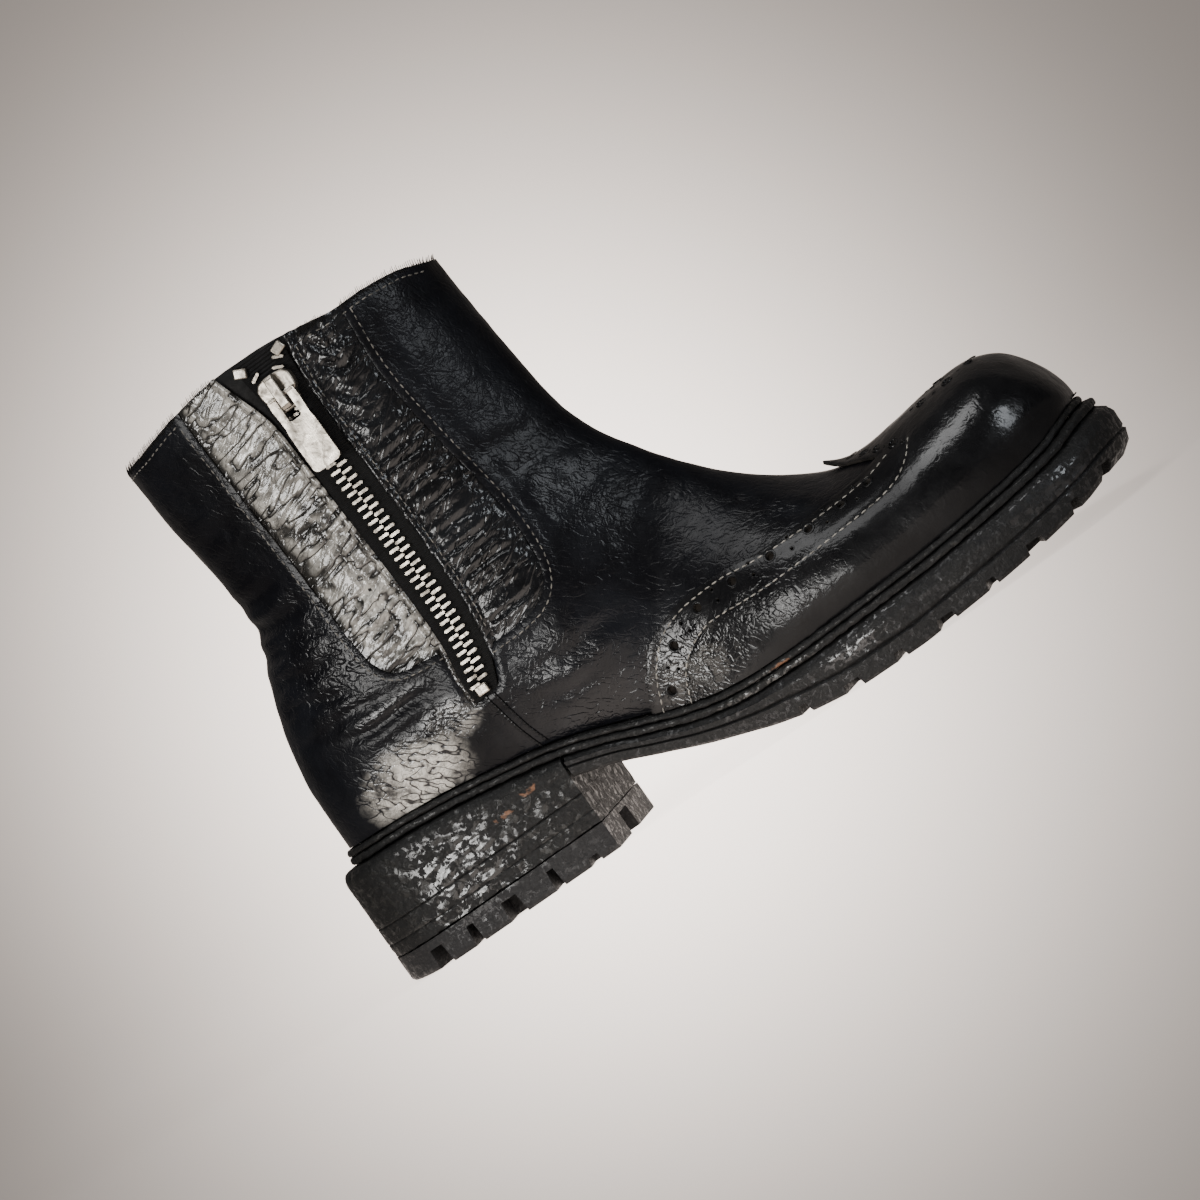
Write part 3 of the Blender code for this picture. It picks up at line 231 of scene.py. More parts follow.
def path_distance(s, z, path):
    """Distance to a path in the side view, and the share of its length there."""
    best = np.full(s.shape, 1e9)
    share = np.zeros(s.shape)
    last = len(path) - 1
    for k in range(last):
        a, b = path[k, :2], path[k + 1, :2]
        d = b - a
        f = np.clip(((s - a[0]) * d[0] + (z - a[1]) * d[1]) / max(d @ d, 1e-9), 0.0, 1.0)
        gap = np.hypot(s - a[0] - f * d[0], z - a[1] - f * d[1])
        near = gap < best
        best = np.where(near, gap, best)
        share = np.where(near, (k + f) / last, share)
    return best, share


def inside_outline(s, z, outline):
    """Whether places in the side view lie inside a closed outline."""
    inside = np.zeros(s.shape, dtype=bool)
    for a, b in zip(outline, np.roll(outline, -1, axis=0)):
        crosses = (a[1] > z) != (b[1] > z)
        at = a[0] + (z - a[1]) * (b[0] - a[0]) / (b[1] - a[1] if b[1] != a[1] else 1e-9)
        inside ^= crosses & (s < at)
    return inside


def signed_distance(s, z, outline):
    """Distance to a closed outline, positive inside."""
    ring = np.vstack((outline, outline[:1]))
    gap, _ = path_distance(s, z, ring)
    return np.where(inside_outline(s, z, outline), gap, -gap)


def world(s, y, z):
    """Point in the frame, in metres, of the last's s, y, z."""
    return Vector(((s - 0.5 * LENGTH) * MM, (y - MID_Y) * MM, z * MM))


def last_of(co):
    """The last's s, y, z in millimetres of a point in the frame."""
    return co.x / MM + 0.5 * LENGTH, co.y / MM + MID_Y, co.z / MM


# ------------------------------------------------------------- plan outlines
def edge_point(turn):
    """Points on the outsole's edge: turn 0 is the toe tip, pi the heel's back."""
    turn = np.asarray(turn, dtype=float)
    s = 0.5 * LENGTH * (1.0 + np.cos(turn))
    side = np.where(turn <= math.pi, -1.0, 1.0)
    half = blend(PLAN, s, "half")
    toe = np.clip((s - TOE_ROUND) / (LENGTH - TOE_ROUND), 0.0, 1.0)
    heel = np.clip((HEEL_ROUND - s) / HEEL_ROUND, 0.0, 1.0)
    half = half * (1.0 - toe ** TOE_POWER) ** (1.0 / TOE_POWER)
    half = half * (1.0 - heel ** HEEL_POWER) ** (1.0 / HEEL_POWER)
    return s, blend(PLAN, s, "centre") + side * half


def rim_point(turn, inset):
    """Points that lie inset millimetres inside the outsole's edge."""
    turn = np.asarray(turn, dtype=float)
    s, y = edge_point(turn)
    s0, y0 = edge_point((turn - 0.02) % (math.tau))
    s1, y1 = edge_point((turn + 0.02) % (math.tau))
    ds, dy = s1 - s0, y1 - y0
    size = np.hypot(ds, dy)
    return s + inset * dy / size, y - inset * ds / size


def turn_at(station):
    """Turn of the sole's inner edge at a station."""
    return np.arccos(np.clip(2.0 * np.asarray(station, dtype=float) / LENGTH - 1.0, -1.0, 1.0))


def layer_inset(turn, name):
    """Value of the layers' steps at a turn."""
    return blend(STEPS, edge_point(turn)[0], name)


def feather(turn):
    """Where the upper's outer face meets the welt: s, y, z."""
    s, y = rim_point(turn, layer_inset(turn, "feather"))
    return s, y, blend(RISE, s, "feather")


def mirrored(turn, side):
    """The same turn on the side asked for."""
    return turn if side == INNER else math.tau - turn


# ------------------------------------------------------- the upper's surface
def column(t, name):
    return through([row[name] for row in SECTIONS], t)


def front_point(t):
    points = [row["front"] for row in SECTIONS] + list(SHIN)
    return through([p[0] for p in points], t), through([p[1] for p in points], t)


def end_station(t):
    return through([float(turn_at(row["end"])) for row in SECTIONS], t)


FRONT_LINE = np.stack(front_point(np.linspace(9.0, 21.0, 121)), axis=1)


def feather_side(side):
    turn = np.linspace(float(turn_at(190.0)), math.pi, 241)
    s, y, z = feather(mirrored(turn, side))
    order = np.argsort(s)
    return s[order], np.abs(y)[order], z[order]


FEATHER_SIDES = {side: feather_side(side) for side in SIDES}


def feather_beside(side, s):
    """Half width and height of the feather line at stations."""
    rows_s, rows_y, rows_z = FEATHER_SIDES[side]
    y = np.where(s <= rows_s[0], 0.0, np.interp(s, rows_s, rows_y))
    return y, np.interp(s, rows_s, rows_z)


def front_share(s, z):
    """Share of the full half width, from the distance behind the front line."""
    gap = (FRONT_LINE[:, 0] - s[..., None]) ** 2 + (FRONT_LINE[:, 1] - z[..., None]) ** 2
    k = gap.argmin(axis=-1)
    low = FRONT_LINE[np.maximum(k - 1, 0)]
    high = FRONT_LINE[np.minimum(k + 1, len(FRONT_LINE) - 1)]
    d = high - low
    spot = FRONT_LINE[k]
    deep = ((spot[..., 0] - s) * d[..., 1] - (spot[..., 1] - z) * d[..., 0])
    deep = deep / np.hypot(d[..., 0], d[..., 1])
    a = np.arccos(np.clip(1.0 - deep / SHIN_DEPTH, 0.0, 1.0))
    return np.sin(a) * (1.0 - blend(BACK, z, "crown") * np.cos(a) ** 2)


def rear_width(side, s, z):
    """Half width behind the instep."""
    reach = (s - blend(BACK, z, "line")) / blend(BACK, z, "round")
    miss = 1.0 - np.clip(reach, 0.0, 1.0)
    full = front_share(s, z) * blend(BACK, z, "inner" if side == INNER else "outer")
    full = full * (1.0 - miss ** BACK_POWER) ** (1.0 / BACK_POWER)
    low_y, low_z = feather_beside(side, s)
    rise = np.clip((z - low_z - SEAT) / COUNTER, 0.0, 1.0)
    return low_y + (full - low_y) * (1.0 - (1.0 - rise) ** 2.4)


def fan(side, steps, shares, split=0.62):
    """Grid of points (s, y, z) from the toe to the ankle: a row for each section."""
    t, q = np.meshgrid(steps, shares, indexing="ij")
    s0, z0 = front_point(t)
    ridge = column(t, "ridge")
    s1, y1, z1 = feather(mirrored(end_station(t), side))
    z1 = z1 + SEAT
    reach = np.abs(y1 - ridge)
    half = column(t, "share") * reach
    half = half + np.minimum(1.0, t) * column(t, "inner" if side == INNER else "outer")
    half = np.maximum(half, 0.001)
    widest, crown = column(t, "widest"), column(t, "crown")
    last = np.arccos(np.minimum(reach / half, 0.9995))
    a = 0.5 * math.pi * np.minimum(q / split, 1.0)
    b = last * np.maximum(q - split, 0.0) / (1.0 - split)
    upper = q <= split
    along = np.where(upper, widest * (1.0 - np.cos(a)),
                     widest + (1.0 - widest) * np.sin(b) / np.sin(last))
    out = np.where(upper, np.sin(a) * (1.0 - crown * np.cos(a) ** 2), np.cos(b))
    s, z = s0 + (s1 - s0) * along, z0 + (z1 - z0) * along
    width = half * out
    rear = np.clip((t - 10.4) / (FAN_END - 10.4), 0.0, 1.0)
    rear = rear * rear * (3.0 - 2.0 * rear) * ((q > 0.0) & (q < 1.0))
    width = width + rear * (rear_width(side, s, z) - width)
    return np.stack((s, ridge + side * width, z), axis=-1)


def rear(side, shares, levels, across):
    """Grid of points round the heel and shaft: a row for each share and level."""
    edge = fan(side, np.array([FAN_END]), 1.0 - shares)[0]
    low_z = float(feather(math.pi)[2]) + SEAT
    s, z = front_point(levels)
    climb = (levels - FAN_END) / (COLLAR_T - FAN_END)
    start = np.concatenate((edge, np.stack((s, 0.0 * s, z), axis=-1)))
    back_z = np.concatenate((low_z + (BACK_SPLIT - low_z) * shares,
                             BACK_SPLIT + (BACK_TOP - BACK_SPLIT) * climb))
    share = np.concatenate((shares, np.ones(len(levels))))[:, None]
    lift = COLLAR_ARCH * np.maximum(0.0, (levels - 17.0) / 3.0) ** 1.5
    lift = np.concatenate((np.zeros(len(shares)), lift))[:, None]
    end_s, end_z = edge[0, 0], edge[0, 2]
    slope = (end_z - low_z) / (end_s - float(blend(BACK, low_z, "line")))
    w = np.linspace(0.0, 1.0, across + 1)[None, :]
    f = share * 0.5 * (1.0 - np.cos(math.pi * w)) + (1.0 - share) * np.sin(0.5 * math.pi * w)
    s = start[:, :1] + (blend(BACK, back_z, "line")[:, None] - start[:, :1]) * f
    z = start[:, 2:] + (back_z[:, None] - start[:, 2:]) * f
    sag = feather_beside(side, s)[1] + SEAT - end_z + slope * (end_s - s)
    z = z + np.where(s < end_s, sag * (1.0 - share) ** 2, 0.0)
    width = rear_width(side, s, z)
    width[:, -1] = 0.0
    y = side * width
    y[:, 0] = start[:, 1]
    return np.stack((s, y, z + lift * np.sin(math.pi * f) ** 2), axis=-1)


def even_steps(count):
    """Section numbers, spaced evenly along the front and feather lines."""
    t = np.linspace(0.06, FAN_END, 600)
    s0, z0 = front_point(t)
    s1, y1, _ = feather(end_station(t))
    pace = 0.5 * np.hypot(np.diff(s0), np.diff(z0)) + 0.5 * np.hypot(np.diff(s1), np.diff(y1))
    gone = np.concatenate(([0.0], np.cumsum(pace)))
    return np.interp(np.linspace(0.0, gone[-1], count), gone, t)


def skin_mesh(sections, shares, levels, across):
    """Open outer face of the upper as a bmesh, in metres."""
    bm = bmesh.new()
    known = {}

    def vert(p):
        key = (round(p[0], 2), round(p[1], 2) + 0.0, round(p[2], 2))
        if key not in known:
            known[key] = bm.verts.new(world(*p))
        return known[key]

    steps = even_steps(sections)
    q = np.linspace(0.0, 1.0, shares + 1)
    up = np.linspace(FAN_END, COLLAR_T, levels + 1)[1:]
    for side in SIDES:
        front = np.concatenate((toe_row(side, q)[None], fan(side, steps, q)))
        for grid in (front, rear(side, q, up, across)):
            rows = [[vert(p) for p in line] for line in grid.tolist()]
            for low, high in pairwise(rows):
                for k in range(len(low) - 1):
                    ring = []
                    for v in (low[k], low[k + 1], high[k + 1], high[k]):
                        if v not in ring:
                            ring.append(v)
                    if len(ring) > 2 and bm.faces.get(ring) is None:
                        bm.faces.new(ring)
    outward(bm)
    return bm


def toe_row(side, shares):
    """Points on the feather line at the toe tip, below the first section."""
    limit = float(end_station(0.06))
    s, y, z = feather(mirrored(limit * np.sin(0.5 * math.pi * shares), side))
    return np.stack((s, y, z + SEAT), axis=-1)


def outward(bm):
    """Point the faces of an open skin away from the inside of the boot."""
    bmesh.ops.recalc_face_normals(bm, faces=bm.faces)
    middle = world(100.0, 0.0, 90.0)
    score = sum((f.calc_center_median() - middle).dot(f.normal) * f.calc_area() for f in bm.faces)
    if score < 0.0:
        bmesh.ops.reverse_faces(bm, faces=bm.faces)
    bm.normal_update()


# ------------------------------------------------------------- mesh handling
def coordinates(bm):
    """Arrays of s, y, z in millimetres of every vertex."""
    co = np.array([v.co[:] for v in bm.verts]) / MM
    return co[:, 0] + 0.5 * LENGTH, co[:, 1] + MID_Y, co[:, 2]


def push(bm, lift):
    """Move every vertex along its normal by an array of millimetres."""
    bm.normal_update()
    moves = [v.normal * float(d) * MM for v, d in zip(bm.verts, lift)]
    for v, move in zip(bm.verts, moves):
        v.co += move


def split_at(bm, value, snap=0.12):
    """Cut faces along the line where an array of vertex values is zero."""
    bm.verts.index_update()
    level = {v: (0.0 if abs(x) < snap else float(x)) for v, x in zip(bm.verts, value)}
    fresh = [v for v, x in level.items() if x == 0.0]
    for edge in list(bm.edges):
        a, b = edge.verts
        if level[a] * level[b] < 0.0:
            _, made = bmesh.utils.edge_split(edge, a, level[a] / (level[a] - level[b]))
            level[made] = 0.0
            fresh.append(made)
    bmesh.ops.connect_verts(bm, verts=fresh)
    return level


def keep_side(bm, level):
    """Delete the faces on the negative side of a cut made by split_at."""
    gone = [f for f in bm.faces if sum(level[v] for v in f.verts) < 0.0]
    bmesh.ops.delete(bm, geom=gone, context="FACES")


def lip(bm, depth):
    """Turn the open edges down into the thickness, square to the surface, with the cut
    leather's own finish."""
    bm.normal_update()
    edges = open_edges(bm)
    normals = {v: v.normal.copy() for edge in edges for v in edge.verts}
    made = bmesh.ops.extrude_edge_only(bm, edges=edges)["geom"]
    fresh = [g for g in made if isinstance(g, bmesh.types.BMVert)]
    for face in made:
        if isinstance(face, bmesh.types.BMFace):
            face.material_index = EDGE_SLOT
            face.smooth = True
    for v in fresh:
        partner = next(e.other_vert(v) for e in v.link_edges if e.other_vert(v) in normals)
        v.co -= normals[partner] * depth * MM


def open_edges(bm):
    return [e for e in bm.edges if len(e.link_faces) == 1]


def drop_loose(bm):
    """Delete the vertices that no face uses."""
    loose = [v for v in bm.verts if not v.link_faces]
    bmesh.ops.delete(bm, geom=loose, context="VERTS")


def drop_where(bm, gone):
    """Delete the vertices that an array of flags marks."""
    bm.verts.ensure_lookup_table()
    marked = [bm.verts[int(k)] for k in np.nonzero(gone)[0]]
    bmesh.ops.delete(bm, geom=marked, context="VERTS")


def halve_faces(bm, edges):
    """Cut faces at the middles of the given edges, and leave none with many corners."""
    bmesh.ops.subdivide_edges(bm, edges=edges, cuts=1, use_grid_fill=True)
    bmesh.ops.triangulate(bm, faces=[f for f in bm.faces if len(f.verts) > 4])


def mesh_places(mesh):
    """Arrays of s, y, z in millimetres of a finished mesh."""
    co = np.empty(3 * len(mesh.vertices))
    mesh.vertices.foreach_get("co", co)
    return co[0::3] / MM + 0.5 * LENGTH, co[1::3] / MM + MID_Y, co[2::3] / MM


def store(mesh, name, value):
    """Keep an array of vertex values on a mesh under a name."""
    mesh.attributes.new(name, "FLOAT", "POINT").data.foreach_set("value", value)


def plain_object(name, bm):
    """Object at the origin from a bmesh, flat shaded and without a finish."""
    mesh = bpy.data.meshes.new(name)
    bm.to_mesh(mesh)
    bm.free()
    obj = bpy.data.objects.new(name, mesh)
    bpy.context.scene.collection.objects.link(obj)
    return obj


def finish_piece(name, bm, materials, smooth=35.0):
    """Object at the origin from a bmesh, with its finishes and smooth shading."""
    obj = plain_object(name, bm)
    for mat in materials:
        obj.data.materials.append(mat)
    obj.data.shade_smooth()
    if smooth:
        obj.data.set_sharp_from_angle(angle=math.radians(smooth))
    return obj


def wear_in(obj, slot, *nodes, body="boot"):
    """Fasten a finished piece to its body, and let it stand for its nodes."""
    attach(obj, body)
    if nodes:
        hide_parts(*nodes)
    return obj


def applied(obj):
    """Replace an object by the plain mesh that its modifiers make."""
    shown = obj.evaluated_get(bpy.context.evaluated_depsgraph_get())
    mesh = bpy.data.meshes.new_from_object(shown)
    name = obj.name
    old = obj.data
    bpy.data.objects.remove(obj, do_unlink=True)
    if old.users == 0 and isinstance(old, bpy.types.Mesh):
        bpy.data.meshes.remove(old)
    fresh = bpy.data.objects.new(name, mesh)
    bpy.context.scene.collection.objects.link(fresh)
    return fresh


surfaces = {}


def remember(name, bm):
    surfaces[name] = BVHTree.FromBMesh(bm)


def spot_on(name, s, z, side, lift=0.0):
    """Place and outward direction on a piece at a side-view place."""
    tree = surfaces[name]
    way = Vector((0.0, -float(side), 0.0))
    found = []
    normal = Vector((0.0, 0.0, 0.0))
    for ds, dz in ((0.0, 0.0), (1.2, 0.0), (-1.2, 0.0), (0.0, 1.2), (0.0, -1.2)):
        hit, facing, _, _ = tree.ray_cast(world(s + ds, side * 150.0, z + dz), way)
        if hit is not None:
            found.append(hit)
            normal += facing if facing.dot(way) < 0.0 else -facing
    if not found:
        raise RuntimeError("no surface of %s at %.1f, %.1f" % (name, s, z))
    normal.normalize()
    return found[0] + normal * lift * MM, normal


def spot_above(name, s, y, lift):
    """Place and outward direction on a piece, seen from above."""
    tree = surfaces[name]
    way = Vector((0.0, 0.0, -1.0))
    hit, normal, _, _ = tree.ray_cast(world(s, y, 150.0), way)
    if hit is None:
        raise RuntimeError("no surface of %s at %.1f, %.1f" % (name, s, y))
    if normal.z < 0.0:
        normal = -normal
    return hit + normal * lift * MM, normal


# ---------------------------------------------------------------- materials
NOISE, RANGE, MIX = "ShaderNodeTexNoise", "ShaderNodeMapRange", "ShaderNodeMix"
MATH, VECTOR, BUMP = "ShaderNodeMath", "ShaderNodeVectorMath", "ShaderNodeBump"
ATTRIBUTE, NAMED = "ShaderNodeAttribute", "GeometryNodeInputNamedAttribute"
WAVE_PITCH = 0.314


def linear(hex_colour):
    """Linear RGBA of an sRGB hex value such as "1b1c20"."""
    parts = [int(hex_colour[k:k + 2], 16) / 255.0 for k in (0, 2, 4)]
    return tuple(c / 12.92 if c <= 0.04045 else ((c + 0.055) / 1.055) ** 2.4
                 for c in parts) + (1.0,)


def add(tree, kind, out=None, inputs=(), **settings):
    """Add a node with its settings.  Its inputs, in order or by name, are linked to a
    socket or set to a value.  Gives back the output asked for, or else the node."""
    node = tree.nodes.new(kind)
    for key, value in settings.items():
        setattr(node, key, value)
    for key, value in inputs.items() if isinstance(inputs, dict) else enumerate(inputs):
        if isinstance(value, bpy.types.NodeSocket):
            tree.links.new(value, node.inputs[key])
        else:
            node.inputs[key].default_value = value
    return node if out is None else node.outputs[out]


def new_material(name, **constants):
    """Material with a Principled shader whose constant sockets are set directly."""
    mat = bpy.data.materials.new(name)
    mat.use_nodes = True
    tree = mat.node_tree
    shader = tree.nodes["Principled BSDF"]
    for key, value in constants.items():
        shader.inputs[key.replace("_", " ")].default_value = value
    return mat, tree, shader


def millimetres(tree, stretch=(1.0, 1.0, 1.0), turn=(0.0, 0.0, 0.0)):
    """Object coordinates in millimetres, drawn out along the axes and turned."""
    place = add(tree, "ShaderNodeTexCoord", "Object")
    return add(tree, "ShaderNodeMapping", "Vector",
               {"Vector": place, "Scale": tuple(MM * k for k in stretch), "Rotation": turn},
               vector_type="TEXTURE")


def warped(tree, place, size, amount):
    """Coordinates pushed about by noise, so that lines wander."""
    sway = add(tree, NOISE, "Color", {"Vector": place, "Scale": 1.0 / size, "Detail": 2.0})
    centred = add(tree, VECTOR, 0, (sway, (0.5, 0.5, 0.5)), operation="SUBTRACT")
    moved = add(tree, VECTOR, 0, {0: centred, "Scale": amount}, operation="SCALE")
    return add(tree, VECTOR, 0, (place, moved), operation="ADD")


def creases(tree, size, width, stretch=1.0, tilt=0.0):
    """Thin sharp lines that wander and join, about size millimetres apart: 1 on them.
    Stretch draws them out along a direction that rises toward the toe by tilt degrees."""
    place = millimetres(tree, (stretch, 1.0, 1.0), (0.0, math.radians(tilt), 0.0))
    field = add(tree, NOISE, "Fac",
                {"Vector": warped(tree, place, 2.5 * size, 0.55 * size), "Scale": 1.0 / size,
                 "Detail": 1.3, "Roughness": 0.55, "Distortion": 0.3})
    centred = add(tree, MATH, 0, (field, 0.5), operation="SUBTRACT")
    gap = add(tree, MATH, 0, (centred,), operation="ABSOLUTE")
    return add(tree, RANGE, 0, (gap, 0.0, width, 1.0, 0.0))


def calf_leather(name, colour, haze, roughness, wrinkle, size, coat, long, tilts):
    """Corrected calf, black dyed, waxed and long worn: a glossy film over a fine pebble,
    creased like crepe where the leather bends, with a bluish or brown haze of wear."""
    mat, tree, shader = new_material(name, Coat_Roughness=0.13, Specular_IOR_Level=0.065,
                                     IOR=1.45)
    place = millimetres(tree)
    creased, gloss, silver = (add(tree, ATTRIBUTE, "Fac", attribute_name=layer)
                              for layer in ("creased", "gloss", "silver"))
    # A real pebble is about half a millimetre; it is drawn coarser, so that it shows.
    patch, scuffs, flakes, waves, pebble = (
        add(tree, NOISE, "Fac", {"Vector": place, "Scale": 1.0 / across, "Detail": detail,
                                 "Roughness": rough, "Distortion": warp})
        for across, detail, warp, rough in ((30.0, 5.0, 0.6, 0.55), (6.0, 5.0, 0.8, 0.55),
                                            (10.0, 6.0, 0.8, 0.55), (5.0, 2.0, 0.8, 0.55),
                                            (1.2, 2.0, 0.6, 0.5)))
    main, slant, tight = (
        creases(tree, share * size, width, long, tilt)
        for share, width, tilt in ((1.0, 0.06, tilts[0]), (0.8, 0.05, tilts[1]),
                                   (0.42, 0.06, 0.5 * sum(tilts))))
    slight = add(tree, MATH, 0, (slant, 0.4), operation="MULTIPLY")
    lines = add(tree, MATH, 0, (main, slight), operation="MAXIMUM")
    # Colour: the dye, a haze of wear, and light grey plates between the creases, partly the
    # leather's own grey and partly a painted highlight; the creases are left out of it.
    worn = add(tree, RANGE, 0, (patch, 0.44, 0.66, 0.0, 1.0))
    tone = add(tree, MIX, 2, {0: worn, 6: linear(colour), 7: linear(haze)}, data_type="RGBA")
    speck = add(tree, RANGE, 0, (scuffs, 0.60, 0.76, 0.0, 0.6))
    tone = add(tree, MIX, 2, {0: speck, 6: tone, 7: linear(haze)}, data_type="RGBA")
    fainter = add(tree, MATH, 0, (tight, 0.5), operation="MULTIPLY")
    grooves = add(tree, MATH, 0, (lines, fainter), operation="MAXIMUM")
    plate = add(tree, RANGE, 0, (grooves, 0.1, 0.8, 1.0, 0.0))
    patchy = add(tree, RANGE, 0, (flakes, 0.36, 0.6, 0.15, 1.0))
    grey_highlight_patches = add(tree, MATH, 0, (silver, patchy), operation="MULTIPLY")
    shown = add(tree, RANGE, 0, (grey_highlight_patches, 0.06, 0.7, 0.0, 1.0))
    # rubbed marks the plates lightened toward a09d96: partly the leather's own grey, partly a
    # painted highlight.
    rubbed = add(tree, MATH, 0, (plate, shown), operation="MULTIPLY")
    tone = add(tree, MIX, 2, {0: rubbed, 6: tone, 7: linear("a09d96")}, data_type="RGBA")
    tree.links.new(tone, shader.inputs["Base Color"])
    # Sheen: smoother, and under a thicker film, where the leather is polished.
    base = add(tree, RANGE, 0, (scuffs, 0.3, 0.75, roughness - 0.05, roughness + 0.16))
    shined = add(tree, MATH, 0, (gloss, -0.14, base), operation="MULTIPLY_ADD")
    tree.links.new(shined, shader.inputs["Roughness"])
    shell = add(tree, MATH, 0, (gloss, 0.8, coat), operation="MULTIPLY_ADD")
    tree.links.new(shell, shader.inputs["Coat Weight"])
    # Relief: low waves, the creases, and the pebble, which the film half fills.
    both = add(tree, MATH, 0, (tight, 0.14, lines), operation="MULTIPLY_ADD")
    bent = add(tree, MATH, 0, (creased, 0.03), operation="ADD")
    folded = add(tree, MATH, 0, (both, bent), operation="MULTIPLY")
    relief = add(tree, BUMP, 0, {"Height": waves, "Distance": 0.22 * wrinkle * MM})
    relief = add(tree, BUMP, 0, {"Height": folded, "Distance": -0.20 * wrinkle * MM,
                                 "Normal": relief})
    for socket, depth in (("Normal", 0.075), ("Coat Normal", 0.03)):
        grained = add(tree, BUMP, 0, {"Height": pebble, "Distance": depth * MM,
                                      "Normal": relief})
        tree.links.new(grained, shader.inputs[socket])
    return mat


def worn_fibre(name, colour, haze, grain, roughness, depth, ribs=0.0):
    """Matte stuff with a nap or a fibre: raw leather, lining, thread, woven tape.  Ribs,
    where there are any, are rows of yarn that many millimetres apart."""
    mat, tree, shader = new_material(name, Specular_IOR_Level=0.15, IOR=1.5)
    place = millimetres(tree)
    patch, fine = (
        add(tree, NOISE, "Fac", {"Vector": place, "Scale": 1.0 / across, "Detail": 4.0,
                                 "Roughness": 0.55, "Distortion": warp})
        for across, warp in ((6.0 * grain, 0.5), (grain, 0.4)))
    worn = add(tree, RANGE, 0, (patch, 0.42, 0.68, 0.0, 1.0))
    tone = add(tree, MIX, 2, {0: worn, 6: linear(colour), 7: linear(haze)}, data_type="RGBA")
    tree.links.new(tone, shader.inputs["Base Color"])
    nap = add(tree, RANGE, 0, (fine, 0.3, 0.7, roughness - 0.08, roughness + 0.08))
    tree.links.new(nap, shader.inputs["Roughness"])
    relief = add(tree, BUMP, 0, {"Height": fine, "Distance": depth * MM})
    if ribs:
        yarn = add(tree, "ShaderNodeTexWave", "Fac",
                   {"Vector": place, "Scale": WAVE_PITCH / ribs, "Distortion": 0.6,
                    "Detail": 1.0}, bands_direction="Z")
        relief = add(tree, BUMP, 0, {"Height": yarn, "Distance": 0.35 * ribs * MM,
                                     "Normal": relief})
    tree.links.new(relief, shader.inputs["Normal"])
    return mat


def aged_nickel():
    """Nickel plate on brass, tumbled and long handled: warm grey, softly scratched, with darker,
    duller patches."""
    mat, tree, shader = new_material("Aged nickel plate", Metallic=1.0)
    place = millimetres(tree)
    drawn = millimetres(tree, (1.0, 1.0, 9.0))
    dull, fine, scratches = (
        add(tree, NOISE, "Fac", {"Vector": where, "Scale": 1.0 / across, "Detail": detail,
                                 "Roughness": 0.55, "Distortion": warp})
        for where, across, detail, warp in ((place, 3.4, 5.0, 0.8), (place, 0.7, 3.0, 0.4),
                                            (drawn, 0.45, 3.0, 0.2)))
    dark_patches = add(tree, RANGE, 0, (dull, 0.52, 0.72, 0.0, 0.85))
    tone = add(tree, MIX, 2, {0: dark_patches, 6: linear("857f76"), 7: linear("3a3631")},
               data_type="RGBA")
    tree.links.new(tone, shader.inputs["Base Color"])
    rough = add(tree, RANGE, 0, (dull, 0.3, 0.7, 0.26, 0.52))
    tree.links.new(rough, shader.inputs["Roughness"])
    relief = add(tree, BUMP, 0, {"Height": dull, "Distance": 0.12 * MM})
    for height in (fine, scratches):
        relief = add(tree, BUMP, 0, {"Height": height, "Distance": 0.03 * MM,
                                     "Normal": relief})
    tree.links.new(relief, shader.inputs["Normal"])
    return mat


